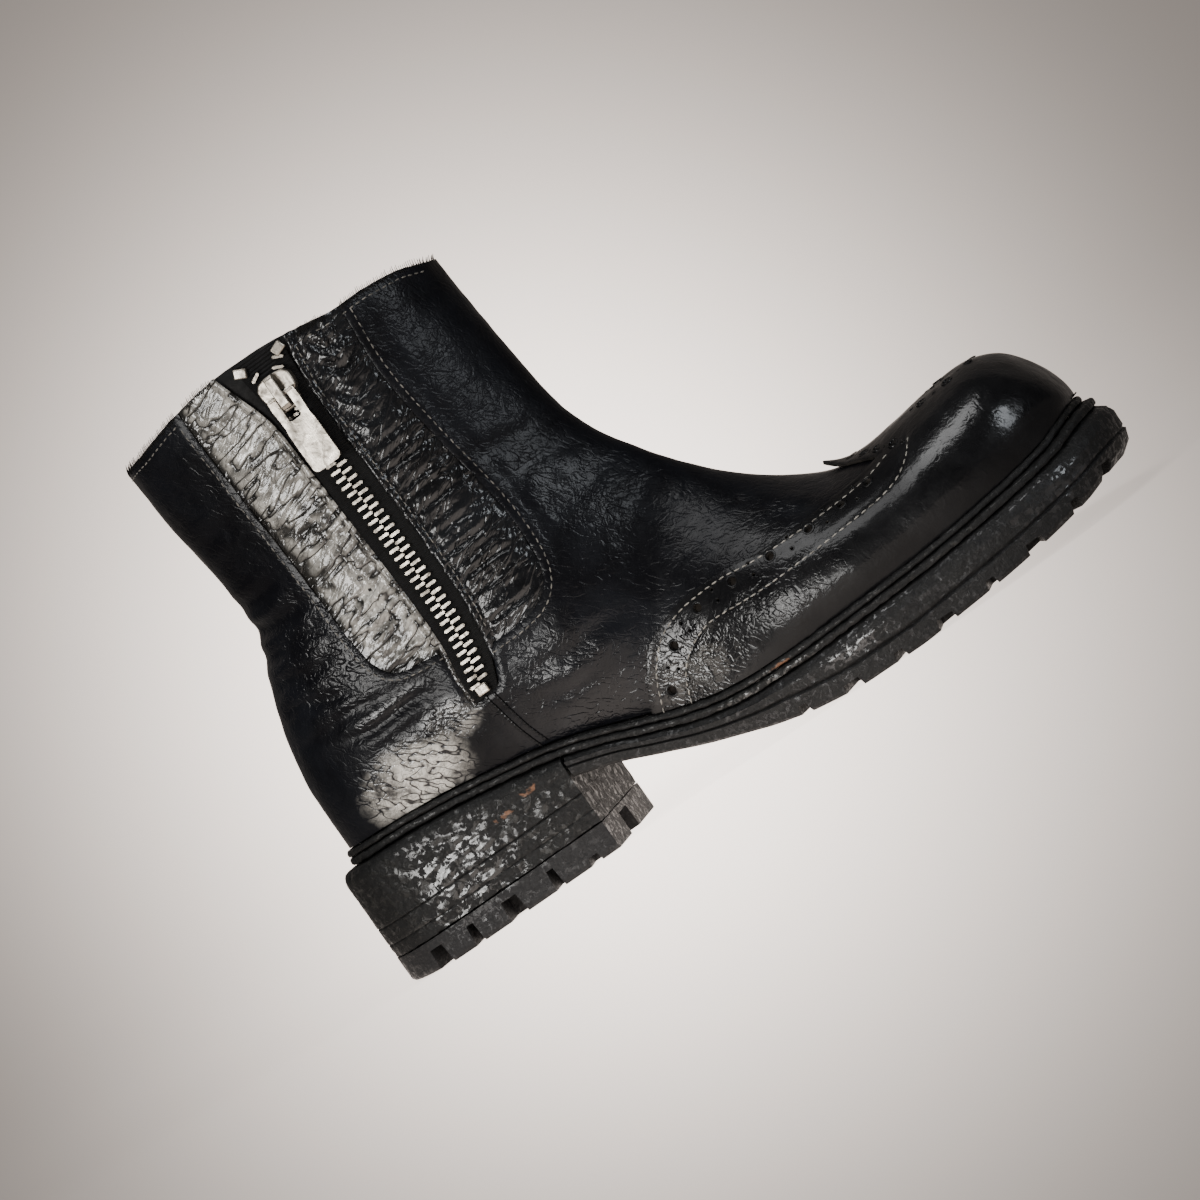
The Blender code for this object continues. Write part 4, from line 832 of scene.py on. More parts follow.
def waxed_edge(name, colour, film_colour, size, pit, scratch=0.0):
    """Leather or rubber edge blacked with wax: a glossy film, flaked off in small
    angular chips down to a dull black ground, with brown leather where it is rubbed."""
    mat, tree, shader = new_material(name, Coat_Roughness=0.12, IOR=1.5,
                                     Specular_IOR_Level=0.17)
    place = millimetres(tree)
    gloss, brown = (add(tree, ATTRIBUTE, "Fac", attribute_name=layer)
                    for layer in ("gloss", "brown"))
    chips, stain, fine, waves = (
        add(tree, NOISE, "Fac", {"Vector": place, "Scale": 1.0 / across, "Detail": detail,
                                 "Roughness": rough, "Distortion": warp})
        for across, detail, warp, rough in ((size, 6.0, 0.9, 0.62), (2.6, 5.0, 0.8, 0.55),
                                            (0.9, 4.0, 0.6, 0.55), (3.0, 4.0, 1.5, 0.55)))
    level = add(tree, MATH, 0, (gloss, -0.09, 0.56), operation="MULTIPLY_ADD")
    over = add(tree, MATH, 0, (chips, level), operation="SUBTRACT")
    film = add(tree, RANGE, 0, (over, -0.012, 0.02, 0.0, 1.0))
    stained = add(tree, MATH, 0, (brown, stain), operation="MULTIPLY")
    rubbed = add(tree, RANGE, 0, (stained, 0.36, 0.5, 0.0, 0.8))
    tone = add(tree, MIX, 2, {0: film, 6: linear(colour), 7: linear(film_colour)},
               data_type="RGBA")
    tone = add(tree, MIX, 2, {0: rubbed, 6: tone, 7: linear("5e4230")}, data_type="RGBA")
    tree.links.new(tone, shader.inputs["Base Color"])
    dull, waxed = (add(tree, RANGE, 0, (fine, 0.3, 0.7, least, most))
                   for least, most in ((0.5, 0.8), (0.28, 0.5)))
    rough = add(tree, MIX, 0, {0: film, 2: dull, 3: waxed}, data_type="FLOAT")
    tree.links.new(rough, shader.inputs["Roughness"])
    shell = add(tree, MATH, 0, (film, gloss), operation="MULTIPLY")
    shell = add(tree, MATH, 0, (shell, 0.6), operation="MULTIPLY")
    tree.links.new(shell, shader.inputs["Coat Weight"])
    height = add(tree, MATH, 0, (film, 0.5, fine), operation="MULTIPLY_ADD")
    relief = add(tree, BUMP, 0, {"Height": height, "Distance": pit * MM})
    relief = add(tree, BUMP, 0, {"Height": waves, "Distance": 0.35 * MM, "Normal": relief})
    if scratch:
        lines = add(tree, NOISE, "Fac",
                    {"Vector": millimetres(tree, (14.0, 14.0, 1.0)), "Scale": 1.0 / 0.5,
                     "Detail": 3.0, "Roughness": 0.55, "Distortion": 0.3})
        relief = add(tree, BUMP, 0, {"Height": lines, "Distance": scratch * MM,
                                     "Normal": relief})
    tree.links.new(relief, shader.inputs["Normal"])
    return mat


# ------------------------------------------------ small shapes set in repeats
def repeat_tree(along_path):
    """Geometry Nodes tree that sets one small shape at even steps along a path, or
    on every point, standing on the stored "up" and, on points, along "along"."""
    tree = bpy.data.node_groups.new("Repeat on a path" if along_path else "Repeat on points",
                                    "GeometryNodeTree")
    for label, kind in (("Geometry", "Geometry"), ("Shape", "Object"), ("Pitch", "Float"),
                        ("Uneven", "Float"), ("Seed", "Int"), ("Material", "Material")):
        tree.interface.new_socket(label, in_out="INPUT", socket_type="NodeSocket" + kind)
    tree.interface.new_socket("Geometry", in_out="OUTPUT", socket_type="NodeSocketGeometry")
    given = add(tree, "NodeGroupInput").outputs
    up = add(tree, NAMED, "Attribute", {"Name": "up"}, data_type="FLOAT_VECTOR")
    if along_path:
        curve = add(tree, "GeometryNodeMeshToCurve", "Curve", {"Mesh": given["Geometry"]})
        places = add(tree, "GeometryNodeResampleCurve", "Curve",
                     {"Curve": curve, "Length": given["Pitch"]}, mode="LENGTH")
        along = add(tree, "GeometryNodeInputTangent", "Tangent")
    else:
        places = add(tree, "GeometryNodeMeshToPoints", "Points", {"Mesh": given["Geometry"]})
        along = add(tree, NAMED, "Attribute", {"Name": "along"}, data_type="FLOAT_VECTOR")
    chance = add(tree, "FunctionNodeRandomValue", 1,
                 {2: -1.0, 3: 1.0, "Seed": given["Seed"]}, data_type="FLOAT")
    sway = add(tree, MATH, 0, (chance, given["Uneven"]), operation="MULTIPLY")
    across = add(tree, VECTOR, 0, (up, along), operation="CROSS_PRODUCT")
    swayed = add(tree, VECTOR, 0, {0: across, "Scale": sway}, operation="SCALE")
    heading = add(tree, VECTOR, 0, (along, swayed), operation="ADD")
    first = add(tree, "FunctionNodeAlignRotationToVector", 0, {"Vector": heading}, axis="X")
    turned = add(tree, "FunctionNodeAlignRotationToVector", 0,
                 {"Rotation": first, "Vector": up}, axis="Z", pivot_axis="X")
    shape = add(tree, "GeometryNodeObjectInfo", "Geometry", {"Object": given["Shape"]})
    placed = add(tree, "GeometryNodeInstanceOnPoints", 0,
                 {"Points": places, "Instance": shape, "Rotation": turned})
    real = add(tree, "GeometryNodeRealizeInstances", 0, {"Geometry": placed})
    dressed = add(tree, "GeometryNodeSetMaterial", 0,
                  {"Geometry": real, "Material": given["Material"]})
    add(tree, "NodeGroupOutput", None, {"Geometry": dressed})
    return tree


def repeats(name, rows, shape, mat, pitch=None, uneven=0.0, seed=1):
    """Mesh object with the shape repeated.  Rows are lists of (place, up) along
    paths where a pitch is given in millimetres, or of (place, up, along)."""
    bm = bmesh.new()
    up = bm.verts.layers.float_vector.new("up")
    along = bm.verts.layers.float_vector.new("along")
    for row in rows:
        made = []
        for item in row:
            v = bm.verts.new(item[0])
            v[up] = item[1]
            if len(item) > 2:
                v[along] = item[2]
            made.append(v)
        if pitch is not None:
            for a, b in pairwise(made):
                bm.edges.new((a, b))
    obj = finish_piece(name, bm, (), smooth=0.0)
    tree = repeat_tree(pitch is not None)
    mod = obj.modifiers.new("repeat", "NODES")
    mod.node_group = tree
    ids = {item.name: item.identifier for item in tree.interface.items_tree
           if item.in_out == "INPUT"}
    mod[ids["Shape"]] = shape
    mod[ids["Pitch"]] = (pitch or 1.0) * MM
    mod[ids["Uneven"]] = uneven
    mod[ids["Seed"]] = seed
    mod[ids["Material"]] = mat
    made = applied(obj)
    made.data.shade_smooth()
    made.data.set_sharp_from_angle(angle=math.radians(40.0))
    mesh = shape.data
    bpy.data.objects.remove(shape, do_unlink=True)
    bpy.data.meshes.remove(mesh)
    bpy.data.node_groups.remove(tree)
    return made


def thread_shape(length, width, height):
    """One stitch: a short round bar, its ends drawn down into the leather."""
    bm = bmesh.new()
    bmesh.ops.create_uvsphere(bm, u_segments=6, v_segments=5, radius=0.5)
    bmesh.ops.rotate(bm, verts=bm.verts, cent=(0.0, 0.0, 0.0),
                     matrix=Matrix.Rotation(math.radians(90.0), 3, "Y"))
    for v in bm.verts:
        end = abs(v.co.x) * 2.0
        v.co = Vector((v.co.x * length, v.co.y * width,
                       v.co.z * height - 0.35 * height * end ** 3)) * MM
    return finish_piece("stitch_shape", bm, ())


def fibre_shape(length, radius):
    """One loose fibre: a thin strand that thins out and bends over at its end."""
    sides = 3
    bm = bmesh.new()
    rows = []
    for f in np.linspace(0.0, 1.0, 4):
        thin = radius * (1.0 - 0.6 * f)
        rows.append([bm.verts.new(Vector((0.25 * length * f * f + thin * math.cos(a),
                                          thin * math.sin(a), length * f)) * MM)
                     for a in (math.tau * n / sides for n in range(sides))])
    for low, high in pairwise(rows):
        for n in range(sides):
            m = (n + 1) % sides
            bm.faces.new((low[n], low[m], high[m], high[n]))
    bm.faces.new(rows[0][::-1])
    bm.faces.new(rows[-1])
    return finish_piece("fibre_shape", bm, ())


def ring_shape(radius, bar, lift):
    """Raised round rim left by a punch."""
    bm = bmesh.new()
    rows = []
    for k in range(14):
        a = math.tau * k / 14
        row = []
        for n in range(5):
            b = math.pi * n / 4
            r = radius + bar * math.cos(b)
            row.append(bm.verts.new(Vector((r * math.cos(a), r * math.sin(a),
                                            lift * math.sin(b))) * MM))
        rows.append(row)
    for low, high in zip(rows, rows[1:] + rows[:1]):
        for n in range(4):
            bm.faces.new((low[n], high[n], high[n + 1], low[n + 1]))
        bm.faces.new((low[4], high[4], high[0], low[0]))
    bmesh.ops.recalc_face_normals(bm, faces=bm.faces)
    return finish_piece("ring_shape", bm, ())


def disc_shape(radius, sink):
    """Thin disc that closes a punched hole from below."""
    bm = bmesh.new()
    bmesh.ops.create_cone(bm, cap_ends=True, segments=14, radius1=radius * MM,
                          radius2=0.9 * radius * MM, depth=0.2 * MM)
    bmesh.ops.translate(bm, verts=bm.verts, vec=(0.0, 0.0, -sink * MM))
    return finish_piece("disc_shape", bm, ())


def tooth_shape():
    """One zip tooth: a bar with rounded edges."""
    bm = bmesh.new()
    bmesh.ops.create_cube(bm, size=1.0)
    for v in bm.verts:
        v.co = Vector((v.co.x * 3.9, v.co.y * 0.68 * ZIP_TOOTH, v.co.z * 1.7)) * MM
    bmesh.ops.bevel(bm, geom=bm.edges, offset=0.28 * MM, segments=2, affect="EDGES")
    return finish_piece("tooth_shape", bm, ())


# ------------------------------------------------------------- outlines used
REAR_EDGE = smooth_path(PANEL_REAR)
FRONT_EDGE = smooth_path(PANEL_FRONT)
WINDOW = {INNER: np.vstack((REAR_EDGE, smooth_path(ZIP_END, 2.0), FRONT_EDGE)),
          OUTER: np.vstack((REAR_EDGE, FRONT_EDGE))}
WING_EDGE = smooth_path(WING)
# Inner edges of the two leather panels that flank the zip, from the collar down.
REAR_FOLD = smooth_path(((72.5, 214), (75.2, 203), (77.8, 195), (80.2, 188), (82.2, 180),
                         (83, 168), (83.5, 150), (84.2, 130), (84.8, 110), (85, 96), (84.4, 86),
                         (83, 78)))
FRONT_FOLD = smooth_path(((105, 214), (102.8, 203), (101.2, 195), (99.9, 186), (99.4, 176),
                          (99.6, 150), (100, 130), (100.1, 110), (99.6, 96), (98.4, 86),
                          (96.4, 76)))

# Folds of the worn leather, side view: "way" is the path, "deep" the trough's depth,
# "wide" its half width, and "swell" the share of the depth that stands up beside it.
INNER_FOLDS = table(
    "deep wide swell way",
    (1.5, 3, 0.5, ((24, 131), (33, 127.5), (44, 126), (55, 127.5))),
    (1, 2.6, 0.6, ((22, 120), (32, 118), (43, 119.5), (54, 117))),
    (0.7, 2.6, 0.5, ((25, 140), (36, 137), (50, 138.5))),
    (0.6, 2.2, 0.6, ((20, 108), (30, 109), (42, 106), (52, 108.5))),
    (0.5, 2, 0.6, ((16, 98), (27, 99.5), (40, 96), (55, 93))),
    (0.5, 2.2, 0.4, ((14, 88), (30, 87), (47, 88), (64, 84))),
    (0.6, 1.8, 0.6, ((34, 82), (48, 79), (64, 79.5), (76, 77))),
    (0.4, 3, 0.3, ((30, 160), (38, 163), (50, 161))),
    (0.45, 3.2, 0.4, ((153, 134), (146, 131), (137, 131.5), (130, 134))),
    (0.3, 3, 0.4, ((160, 122), (151, 120), (141, 121.5), (132, 119))),
    (0.2, 3.4, 0.4, ((168, 106), (156, 106), (144, 104), (134, 106))),
    (0.5, 3, 0.4, ((106, 66), (118, 62), (132, 64), (146, 60))),
    (0.5, 2.6, 0.4, ((98, 56), (112, 52), (124, 52))),
    (0.35, 2.4, 0.4, ((196, 62), (206, 58), (214, 56))),
    (0.3, 2.4, 0.4, ((205, 66), (214, 61), (224, 58))),
)
SEAM_GROOVES = table(
    "deep wide swell way",
    (0.35, 0.7, 0.2, shifted(REAR_EDGE, -2.2)[10:]),
    (0.35, 0.7, 0.2, shifted(FRONT_EDGE, -2.6)),
    (0.18, 1.6, 0.5, shifted(FRONT_EDGE, -6.4)[10:]),
)
# The quarter's seam that runs from the zip's lower end down to the welt.
QUARTER_SEAM = table(
    "deep wide swell way",
    (0.6, 1.6, 0.5, ((86.8, 67), (88, 58), (89.3, 50), (91, 42))),
    (0.4, 1.4, 0.5, ((90, 66), (91, 58), (92.2, 50), (93.8, 43))),
)


def fold_lift(s, z, folds):
    """Height of soft troughs and the ridges beside them, in millimetres."""
    lift = np.zeros(s.shape)
    for fold in folds:
        path = smooth_path(fold["way"], 2.0)
        near = ((s > path[:, 0].min() - 9.0) & (s < path[:, 0].max() + 9.0)
                & (z > path[:, 1].min() - 9.0) & (z < path[:, 1].max() + 9.0))
        if not near.any():
            continue
        gap, share = path_distance(s[near], z[near], path)
        w = fold["wide"]
        fade = np.clip(4.0 * share, 0.0, 1.0) * np.clip(4.0 * (1.0 - share), 0.0, 1.0)
        shape = -np.exp(-(gap / w) ** 2)
        shape += fold["swell"] * np.exp(-((gap - 1.9 * w) / w) ** 2)
        lift[near] += fold["deep"] * fade * shape
    return lift


def ripples(bm, size, offset):
    """Noise at every vertex, of a given size in millimetres, between about -1 and 1."""
    return np.array([noise.fractal(v.co / (size * MM) + offset, 1.0, 2.0, 3)
                     for v in bm.verts])


def rough_lift(bm, size, depth, seed):
    """Low waves of worn leather, in millimetres of lift."""
    return depth * ripples(bm, size, seed * Vector((7.3, 3.1, 5.7)))


# Where the leather is crinkled, where it is polished, and where its colour is lightened to grey,
# partly its own grey and partly a painted highlight, in the side view.
ZONES = table(
    "s z ds dz creased gloss silver",
    (50, 57, 19, 12, 0.9, 1, 0.95), (72, 66, 12, 7, 0.8, 0.7, 0.35),
    (118, 42, 24, 10, 0.6, 0.3, 0), (56, 82, 15, 2.2, 0.5, 0.4, 0),
    (44, 112, 30, 24, 0.7, 0.15, 0), (36, 165, 20, 40, 0.3, 0.1, 0),
    (110, 56, 28, 18, 0.35, 0.2, 0), (135, 92, 22, 30, 0.2, 0.1, 0),
    (150, 36, 22, 14, 0.8, 0.5, 0.12), (186, 40, 30, 9, 0.5, 0.15, 0),
    (270, 50, 24, 12, 0.1, 0.35, 0), (210, 60, 22, 10, 0.25, 0.15, 0),
)


def paint_zones(obj, creased=0.0, gloss=0.0, silver=0.0):
    """Store how crinkled and how polished each point is, and how far its colour is lightened to
    grey: partly the leather's own grey, partly a painted highlight.
    """
    mesh = obj.data
    s, _, z = mesh_places(mesh)
    for name, least in (("creased", creased), ("gloss", gloss), ("silver", silver)):
        value = np.full(s.shape, least)
        for row in ZONES:
            far = ((s - row["s"]) / row["ds"]) ** 2 + ((z - row["z"]) / row["dz"]) ** 2
            value = np.maximum(value, row[name] * np.exp(-far * far))
        # The grey and painted highlight are kept off a margin along a panel's edge, which so
        # stays dark as painted shade; bare is the share let through.
        if name == "silver" and "open" in mesh.attributes:
            bare = np.empty(len(mesh.vertices))
            mesh.attributes["open"].data.foreach_get("value", bare)
            value *= bare
        store(mesh, name, value)
    return obj


# -------------------------------------------------------------- leather pieces
base_skins = {}
LINING = {"behind": 1.45, "thick": 0.75}
# The collar's worn rim in the side view, and where the shaft starts to give way to it.
RIM_FOOT = 165.0
RIM = ((21, 198), (36, 198.8), (50, 201.3), (66, 203.4), (77, 204.2), (90, 202.8), (106, 200.4),
       (118, 199.4), (130, 199.8), (142, 198.8), (151, 195.4))


def rim_height(s):
    return np.interp(s, *np.array(RIM).T)


def fit_collar(bm):
    """Bring the collar's rim to its worn line, with a slightly ragged cut."""
    rim = sorted({v for e in bm.edges if len(e.link_faces) == 1 for v in e.verts
                  if v.co.z > 180.0 * MM}, key=lambda v: v.co.x)
    for side in SIDES:
        mine = [last_of(v.co) for v in rim if last_of(v.co)[1] * side >= 0.0]
        now_s = np.array([p[0] for p in mine])
        now_z = np.array([p[2] for p in mine])
        for v in bm.verts:
            s, y, z = last_of(v.co)
            if z < RIM_FOOT or y * side < 0.0 or (y == 0.0 and side == OUTER):
                continue
            top = float(np.interp(s, now_s, now_z))
            share = min(1.0, max(0.0, (z - RIM_FOOT) / (top - RIM_FOOT)))
            rise = max(0.0, float(rim_height(s)) - top)
            ragged = 0.3 * noise.noise(v.co / (2.4 * MM)) * share ** 12
            v.co.z += (rise * share * share + ragged) * MM


def base_skin():
    """Fine outer face of the whole upper, worked out once."""
    if "fine" not in base_skins:
        bm = skin_mesh(sections=190, shares=80, levels=50, across=96)
        remember("skin", bm)
        fit_collar(bm)
        base_skins["fine"] = bm
    return base_skins["fine"].copy()


def window_value(bm, side, margin=0.0):
    """Millimetres outside the window's outline on one side; large elsewhere."""
    s, y, z = coordinates(bm)
    value = np.full(s.shape, 50.0)
    near = (s > 40.0) & (s < 145.0) & (z > 55.0) & (y * side > 5.0)
    value[near] = -signed_distance(s[near], z[near], WINDOW[side]) - margin
    return value


def edge_round(gap, reach, depth):
    """Drop of a cut leather edge over its last bit, in millimetres."""
    f = np.clip(1.0 - gap / reach, 0.0, 1.0)
    return -depth * f * f


def make_upper(sizes, leather, edge):
    """Outer leather of the upper: open at both windows, with worn folds, seam grooves,
    low waves and a rounded cut edge."""
    bm = base_skin()
    for side in SIDES:
        level = split_at(bm, window_value(bm, side))
        keep_side(bm, level)
    s, y, z = coordinates(bm)
    gap = np.minimum(np.abs(window_value(bm, INNER)), np.abs(window_value(bm, OUTER)))
    lift = edge_round(gap, 1.3, 0.28)
    lift += 0.35 * np.exp(-((gap - 2.0) / 1.6) ** 2)
    fold = fold_lift(s, z, INNER_FOLDS)
    groove = fold_lift(s, z, SEAM_GROOVES)
    groove += np.where(y < 0.0, fold_lift(s, z, QUARTER_SEAM), 0.0)
    lift += np.where(y < 0.0, 1.0, 0.75) * fold * sizes.fold_depth
    lift += groove
    calm = np.clip((s - 150.0) / 60.0, 0.0, 1.0)
    lift += rough_lift(bm, 26.0, 0.42, 1) * (1.0 - 0.5 * calm)
    lift += rough_lift(bm, 9.0, 0.16, 2) * (1.0 - 0.7 * calm)
    collar = 198.0 - z
    lift += edge_round(np.clip(collar, 0.0, 9.0), 2.0, 0.2) * (z > 150.0)
    push(bm, lift)
    lip(bm, 1.35)
    remember("upper", bm)
    obj = paint_zones(finish_piece("upper_leather", bm, (leather, edge), smooth=50.0), 0.25)
    return wear_in(obj, "black_leather", "upper")


def make_lining(mat):
    """Lining leather, a thin sheet close behind the outer leather."""
    bm = skin_mesh(sections=70, shares=26, levels=16, across=30)
    fit_collar(bm)
    push(bm, np.full(len(bm.verts), -LINING["behind"]))
    obj = finish_piece("lining", bm, (mat,), smooth=0.0)
    wall = obj.modifiers.new("wall", "SOLIDIFY")
    wall.thickness = LINING["thick"] * MM
    wall.offset = -1.0
    wear_in(applied(obj), "black_leather")


def panel_skin(side, margin):
    """The part of the skin inside the window, and a margin under its edges."""
    bm = base_skin()
    s, y, z = coordinates(bm)
    far = (s < 40.0) | (s > 145.0) | (z < 60.0) | (y * side < 5.0)
    drop_where(bm, far)
    level = split_at(bm, -window_value(bm, side, margin))
    keep_side(bm, level)
    drop_loose(bm)
    return bm


def side_of_path(s, z, path):
    """Millimetres by which places lie behind (negative) or before a rising path."""
    order = np.argsort(path[:, 1])
    return s - np.interp(z, path[order, 1], path[order, 0])


PANEL_FOLDS = table(
    "deep wide swell way",
    (0.55, 1.1, 0.8, ((74, 150), (74.5, 130), (75.5, 112), (74.5, 96))),
    (0.4, 0.9, 0.5, ((60, 176), (68, 183), (76, 191))),
    (0.4, 0.9, 0.5, ((61, 166), (69, 174), (79, 178))),
    (0.35, 0.8, 0.5, ((61, 158), (70, 164), (81, 165))),
    (0.4, 0.9, 0.5, ((60.5, 149), (70, 155), (82, 157))),
    (0.4, 0.9, 0.5, ((61, 141), (70, 146), (82, 147))),
    (0.4, 1, 0.4, ((66, 196), (70, 188), (76, 199))),
    (0.8, 1.5, 0.6, ((108, 197), (112, 190), (119, 193))),
    (0.8, 1.4, 0.6, ((106, 189), (112, 182), (119.5, 186))),
    (0.7, 1.4, 0.6, ((105, 180), (110, 172), (118, 177))),
    (0.6, 1.3, 0.6, ((104, 170), (111, 162), (118.5, 167))),
    (0.6, 1.2, 0.6, ((112, 200), (114, 192), (112, 180))),
)


def cross_folds(low, high, pitch, left, right, tilt, deep, seed):
    """Rows of near level creases between two stations, uneven."""
    rows = []
    count = int((high - low) / pitch)
    for k in range(count):
        wave = math.sin(seed + 2.4 * k)
        z = low + pitch * k + 0.35 * pitch * wave
        start = left + 2.5 * math.cos(seed + 1.7 * k)
        end = right - 2.5 * math.sin(seed + 3.1 * k)
        middle = 0.5 * (start + end)
        rows.append({"way": ((start, z), (middle, z + 0.6 * tilt + 0.8 * wave),
                             (end, z + tilt - 0.7 * wave)),
                     "deep": deep * (0.75 + 0.25 * math.cos(1.3 * k)), "wide": 0.30 * pitch,
                     "swell": 0.5})
    return tuple(rows)


PANEL_CROSS = (cross_folds(90.0, 140.0, 4.1, 61.0, 84.0, 1.6, 0.42, 0.4)
               + cross_folds(84.0, 160.0, 3.3, 101.5, 123.5, 1.2, 0.50, 2.1))


def make_panel(name, side, front, sizes, leather, edge):
    """One leather panel beside the zip, or the whole window on the outer side."""
    bm = panel_skin(side, 3.5)
    path = FRONT_FOLD if front else REAR_FOLD
    if side == INNER:
        s, _, z = coordinates(bm)
        ahead = side_of_path(s, z, path)
        keep_side(bm, split_at(bm, ahead if front else -ahead))
        drop_loose(bm)
    halve_faces(bm, bm.edges)
    s, _, z = coordinates(bm)
    gap = window_value(bm, side)
    lift = np.full(s.shape, -0.85)
    lift += 0.45 * np.exp(-((gap + 6.5) / 5.0) ** 2)
    lift += 0.3 * np.clip(-gap / 9.0, 0.0, 1.0)
    if side == INNER:
        near = np.abs(side_of_path(s, z, path))
        lift += 1.0 * np.exp(-(near / 2.6) ** 4) + edge_round(near, 0.8, 0.4)
        lift -= 0.35 * np.exp(-((near - 3.2) / 0.8) ** 2)
    lift += sizes.fold_depth * fold_lift(s, z, PANEL_FOLDS + PANEL_CROSS)
    lift += rough_lift(bm, 6.5, 0.34, 5 if front else 8)
    lift += rough_lift(bm, 2.6, 0.12, 11)
    push(bm, lift)
    # The open layer: how much of the grey and painted highlight may show, none near the panel's
    # edge, which so stays dark as painted shade.
    highlight_reach_layer = bm.verts.layers.float.new("open")
    for v, inside in zip(bm.verts, -gap):
        v[highlight_reach_layer] = min(max(inside / sizes.panel_shade - 0.3, 0.0), 1.0)
    remember(name, bm)
    lip(bm, 0.75)
    # The rear panel gets a base of 0.5 of the grey and painted highlight, the front panels none.
    obj = paint_zones(finish_piece(name, bm, (leather, edge), smooth=60.0), 1.0, 0.3,
                      0.0 if front else 0.5)
    return wear_in(obj, "black_leather")


# ------------------------------------------------------------- the wing cap
BIG_HOLES = ((139.5, 33), (149, 44.4), (163, 49.9), (178, 50.4), (193, 49.9), (208, 49.8),
             (221, 50.1), (232, 51))
UPPER_ROW = smooth_path(((132.2, 29), (135, 35), (138, 40.3), (141.4, 44.4), (145.6, 48.4),
                         (149.6, 50.6), (155, 52.4), (162, 53.6), (175, 54), (187, 52.7),
                         (205, 52.1), (224, 52.6), (234, 53.8), (240.6, 55.6)), 0.8)
LOWER_ROW = smooth_path(((142.4, 26.6), (145.6, 33.6), (149.4, 38), (154, 41.2), (159.4, 43.4),
                         (166, 44.5), (185, 43.7), (205, 44.2), (225, 45.3), (235, 46.3),
                         (242, 48.3), (247.4, 52), (250.4, 56)), 0.8)


def peak_outline(grow):
    """Plan outline of the centre peak, grown outward by some millimetres."""
    mid, half = WING_PEAK["mid_y"], WING_PEAK["half"] + grow
    base, tip = WING_PEAK["base_s"], WING_PEAK["tip_s"] - 1.3 * grow
    return np.array(((base + 9.0, mid - half), (base, mid - half), (tip, WING_PEAK["tip_y"]),
                     (base, mid + half), (base + 9.0, mid + half)))


def wing_value(s, y, z):
    """Millimetres inside the wing cap's edge; negative outside it."""
    side = np.vstack((WING_EDGE, ((242.5, 95.0), (330.0, 95.0), (330.0, 0.0), (125.0, 0.0))))
    value = np.full(s.shape, -30.0)
    near = (s > 115.0) & (z < 75.0)
    value[near] = signed_distance(s[near], z[near], side)
    top = near & (z > 54.0)
    value[top] = np.maximum(value[top], signed_distance(s[top], y[top], peak_outline(0.0)))
    return value


def between(points):
    """Small-hole pairs halfway between neighbouring big holes."""
    pairs = []
    for a, b in pairwise(points):
        d = np.subtract(b, a) / np.hypot(*np.subtract(b, a))
        middle = 0.5 * np.add(a, b)
        pairs.append((middle[0] - d[1] * 1.9, middle[1] + d[0] * 1.9))
        pairs.append((middle[0] + d[1] * 1.9, middle[1] - d[0] * 1.9))
    return pairs


def hole_list():
    """Places, directions and radii of the punched holes, on the bare skin: the row along
    the wing, the row along the peak, and the rosette on the toe with its two arcs."""
    lift = OVERLAY + GAP
    found = []
    for side in SIDES:
        for row, radius in ((BIG_HOLES, 1.55), (between(BIG_HOLES), 0.62)):
            found += [spot_on("skin", s, z, side, lift) + (radius,) for s, z in row]
    above = []
    for reach in (3.5, 10.1, 16.7, 23.3):
        for side in SIDES:
            s, y = 224.0 + 0.92 * reach, WING_PEAK["mid_y"] + side * reach
            above += [(s, y, 1.2), (s + 3.0, y + side * 3.3, 0.6)]
    centre_s, centre_y = 266.0, -3.8
    above.append((centre_s, centre_y, 1.5))
    for k in range(8):
        a = math.pi * (k + 0.5) / 4.0
        r = 5.4 if k % 2 else 5.0
        above.append((centre_s + r * math.cos(a), centre_y + r * math.sin(a), 0.7))
    for side in SIDES:
        for k in range(6):
            a = 0.35 + 0.42 * k
            above.append((centre_s - 1.0 + 13.0 * math.cos(a),
                          centre_y + side * (3.0 + 11.0 * math.sin(a)), 0.65 if k % 2 else 1.1))
    return found + [spot_above("skin", s, y, lift) + (radius,) for s, y, radius in above]


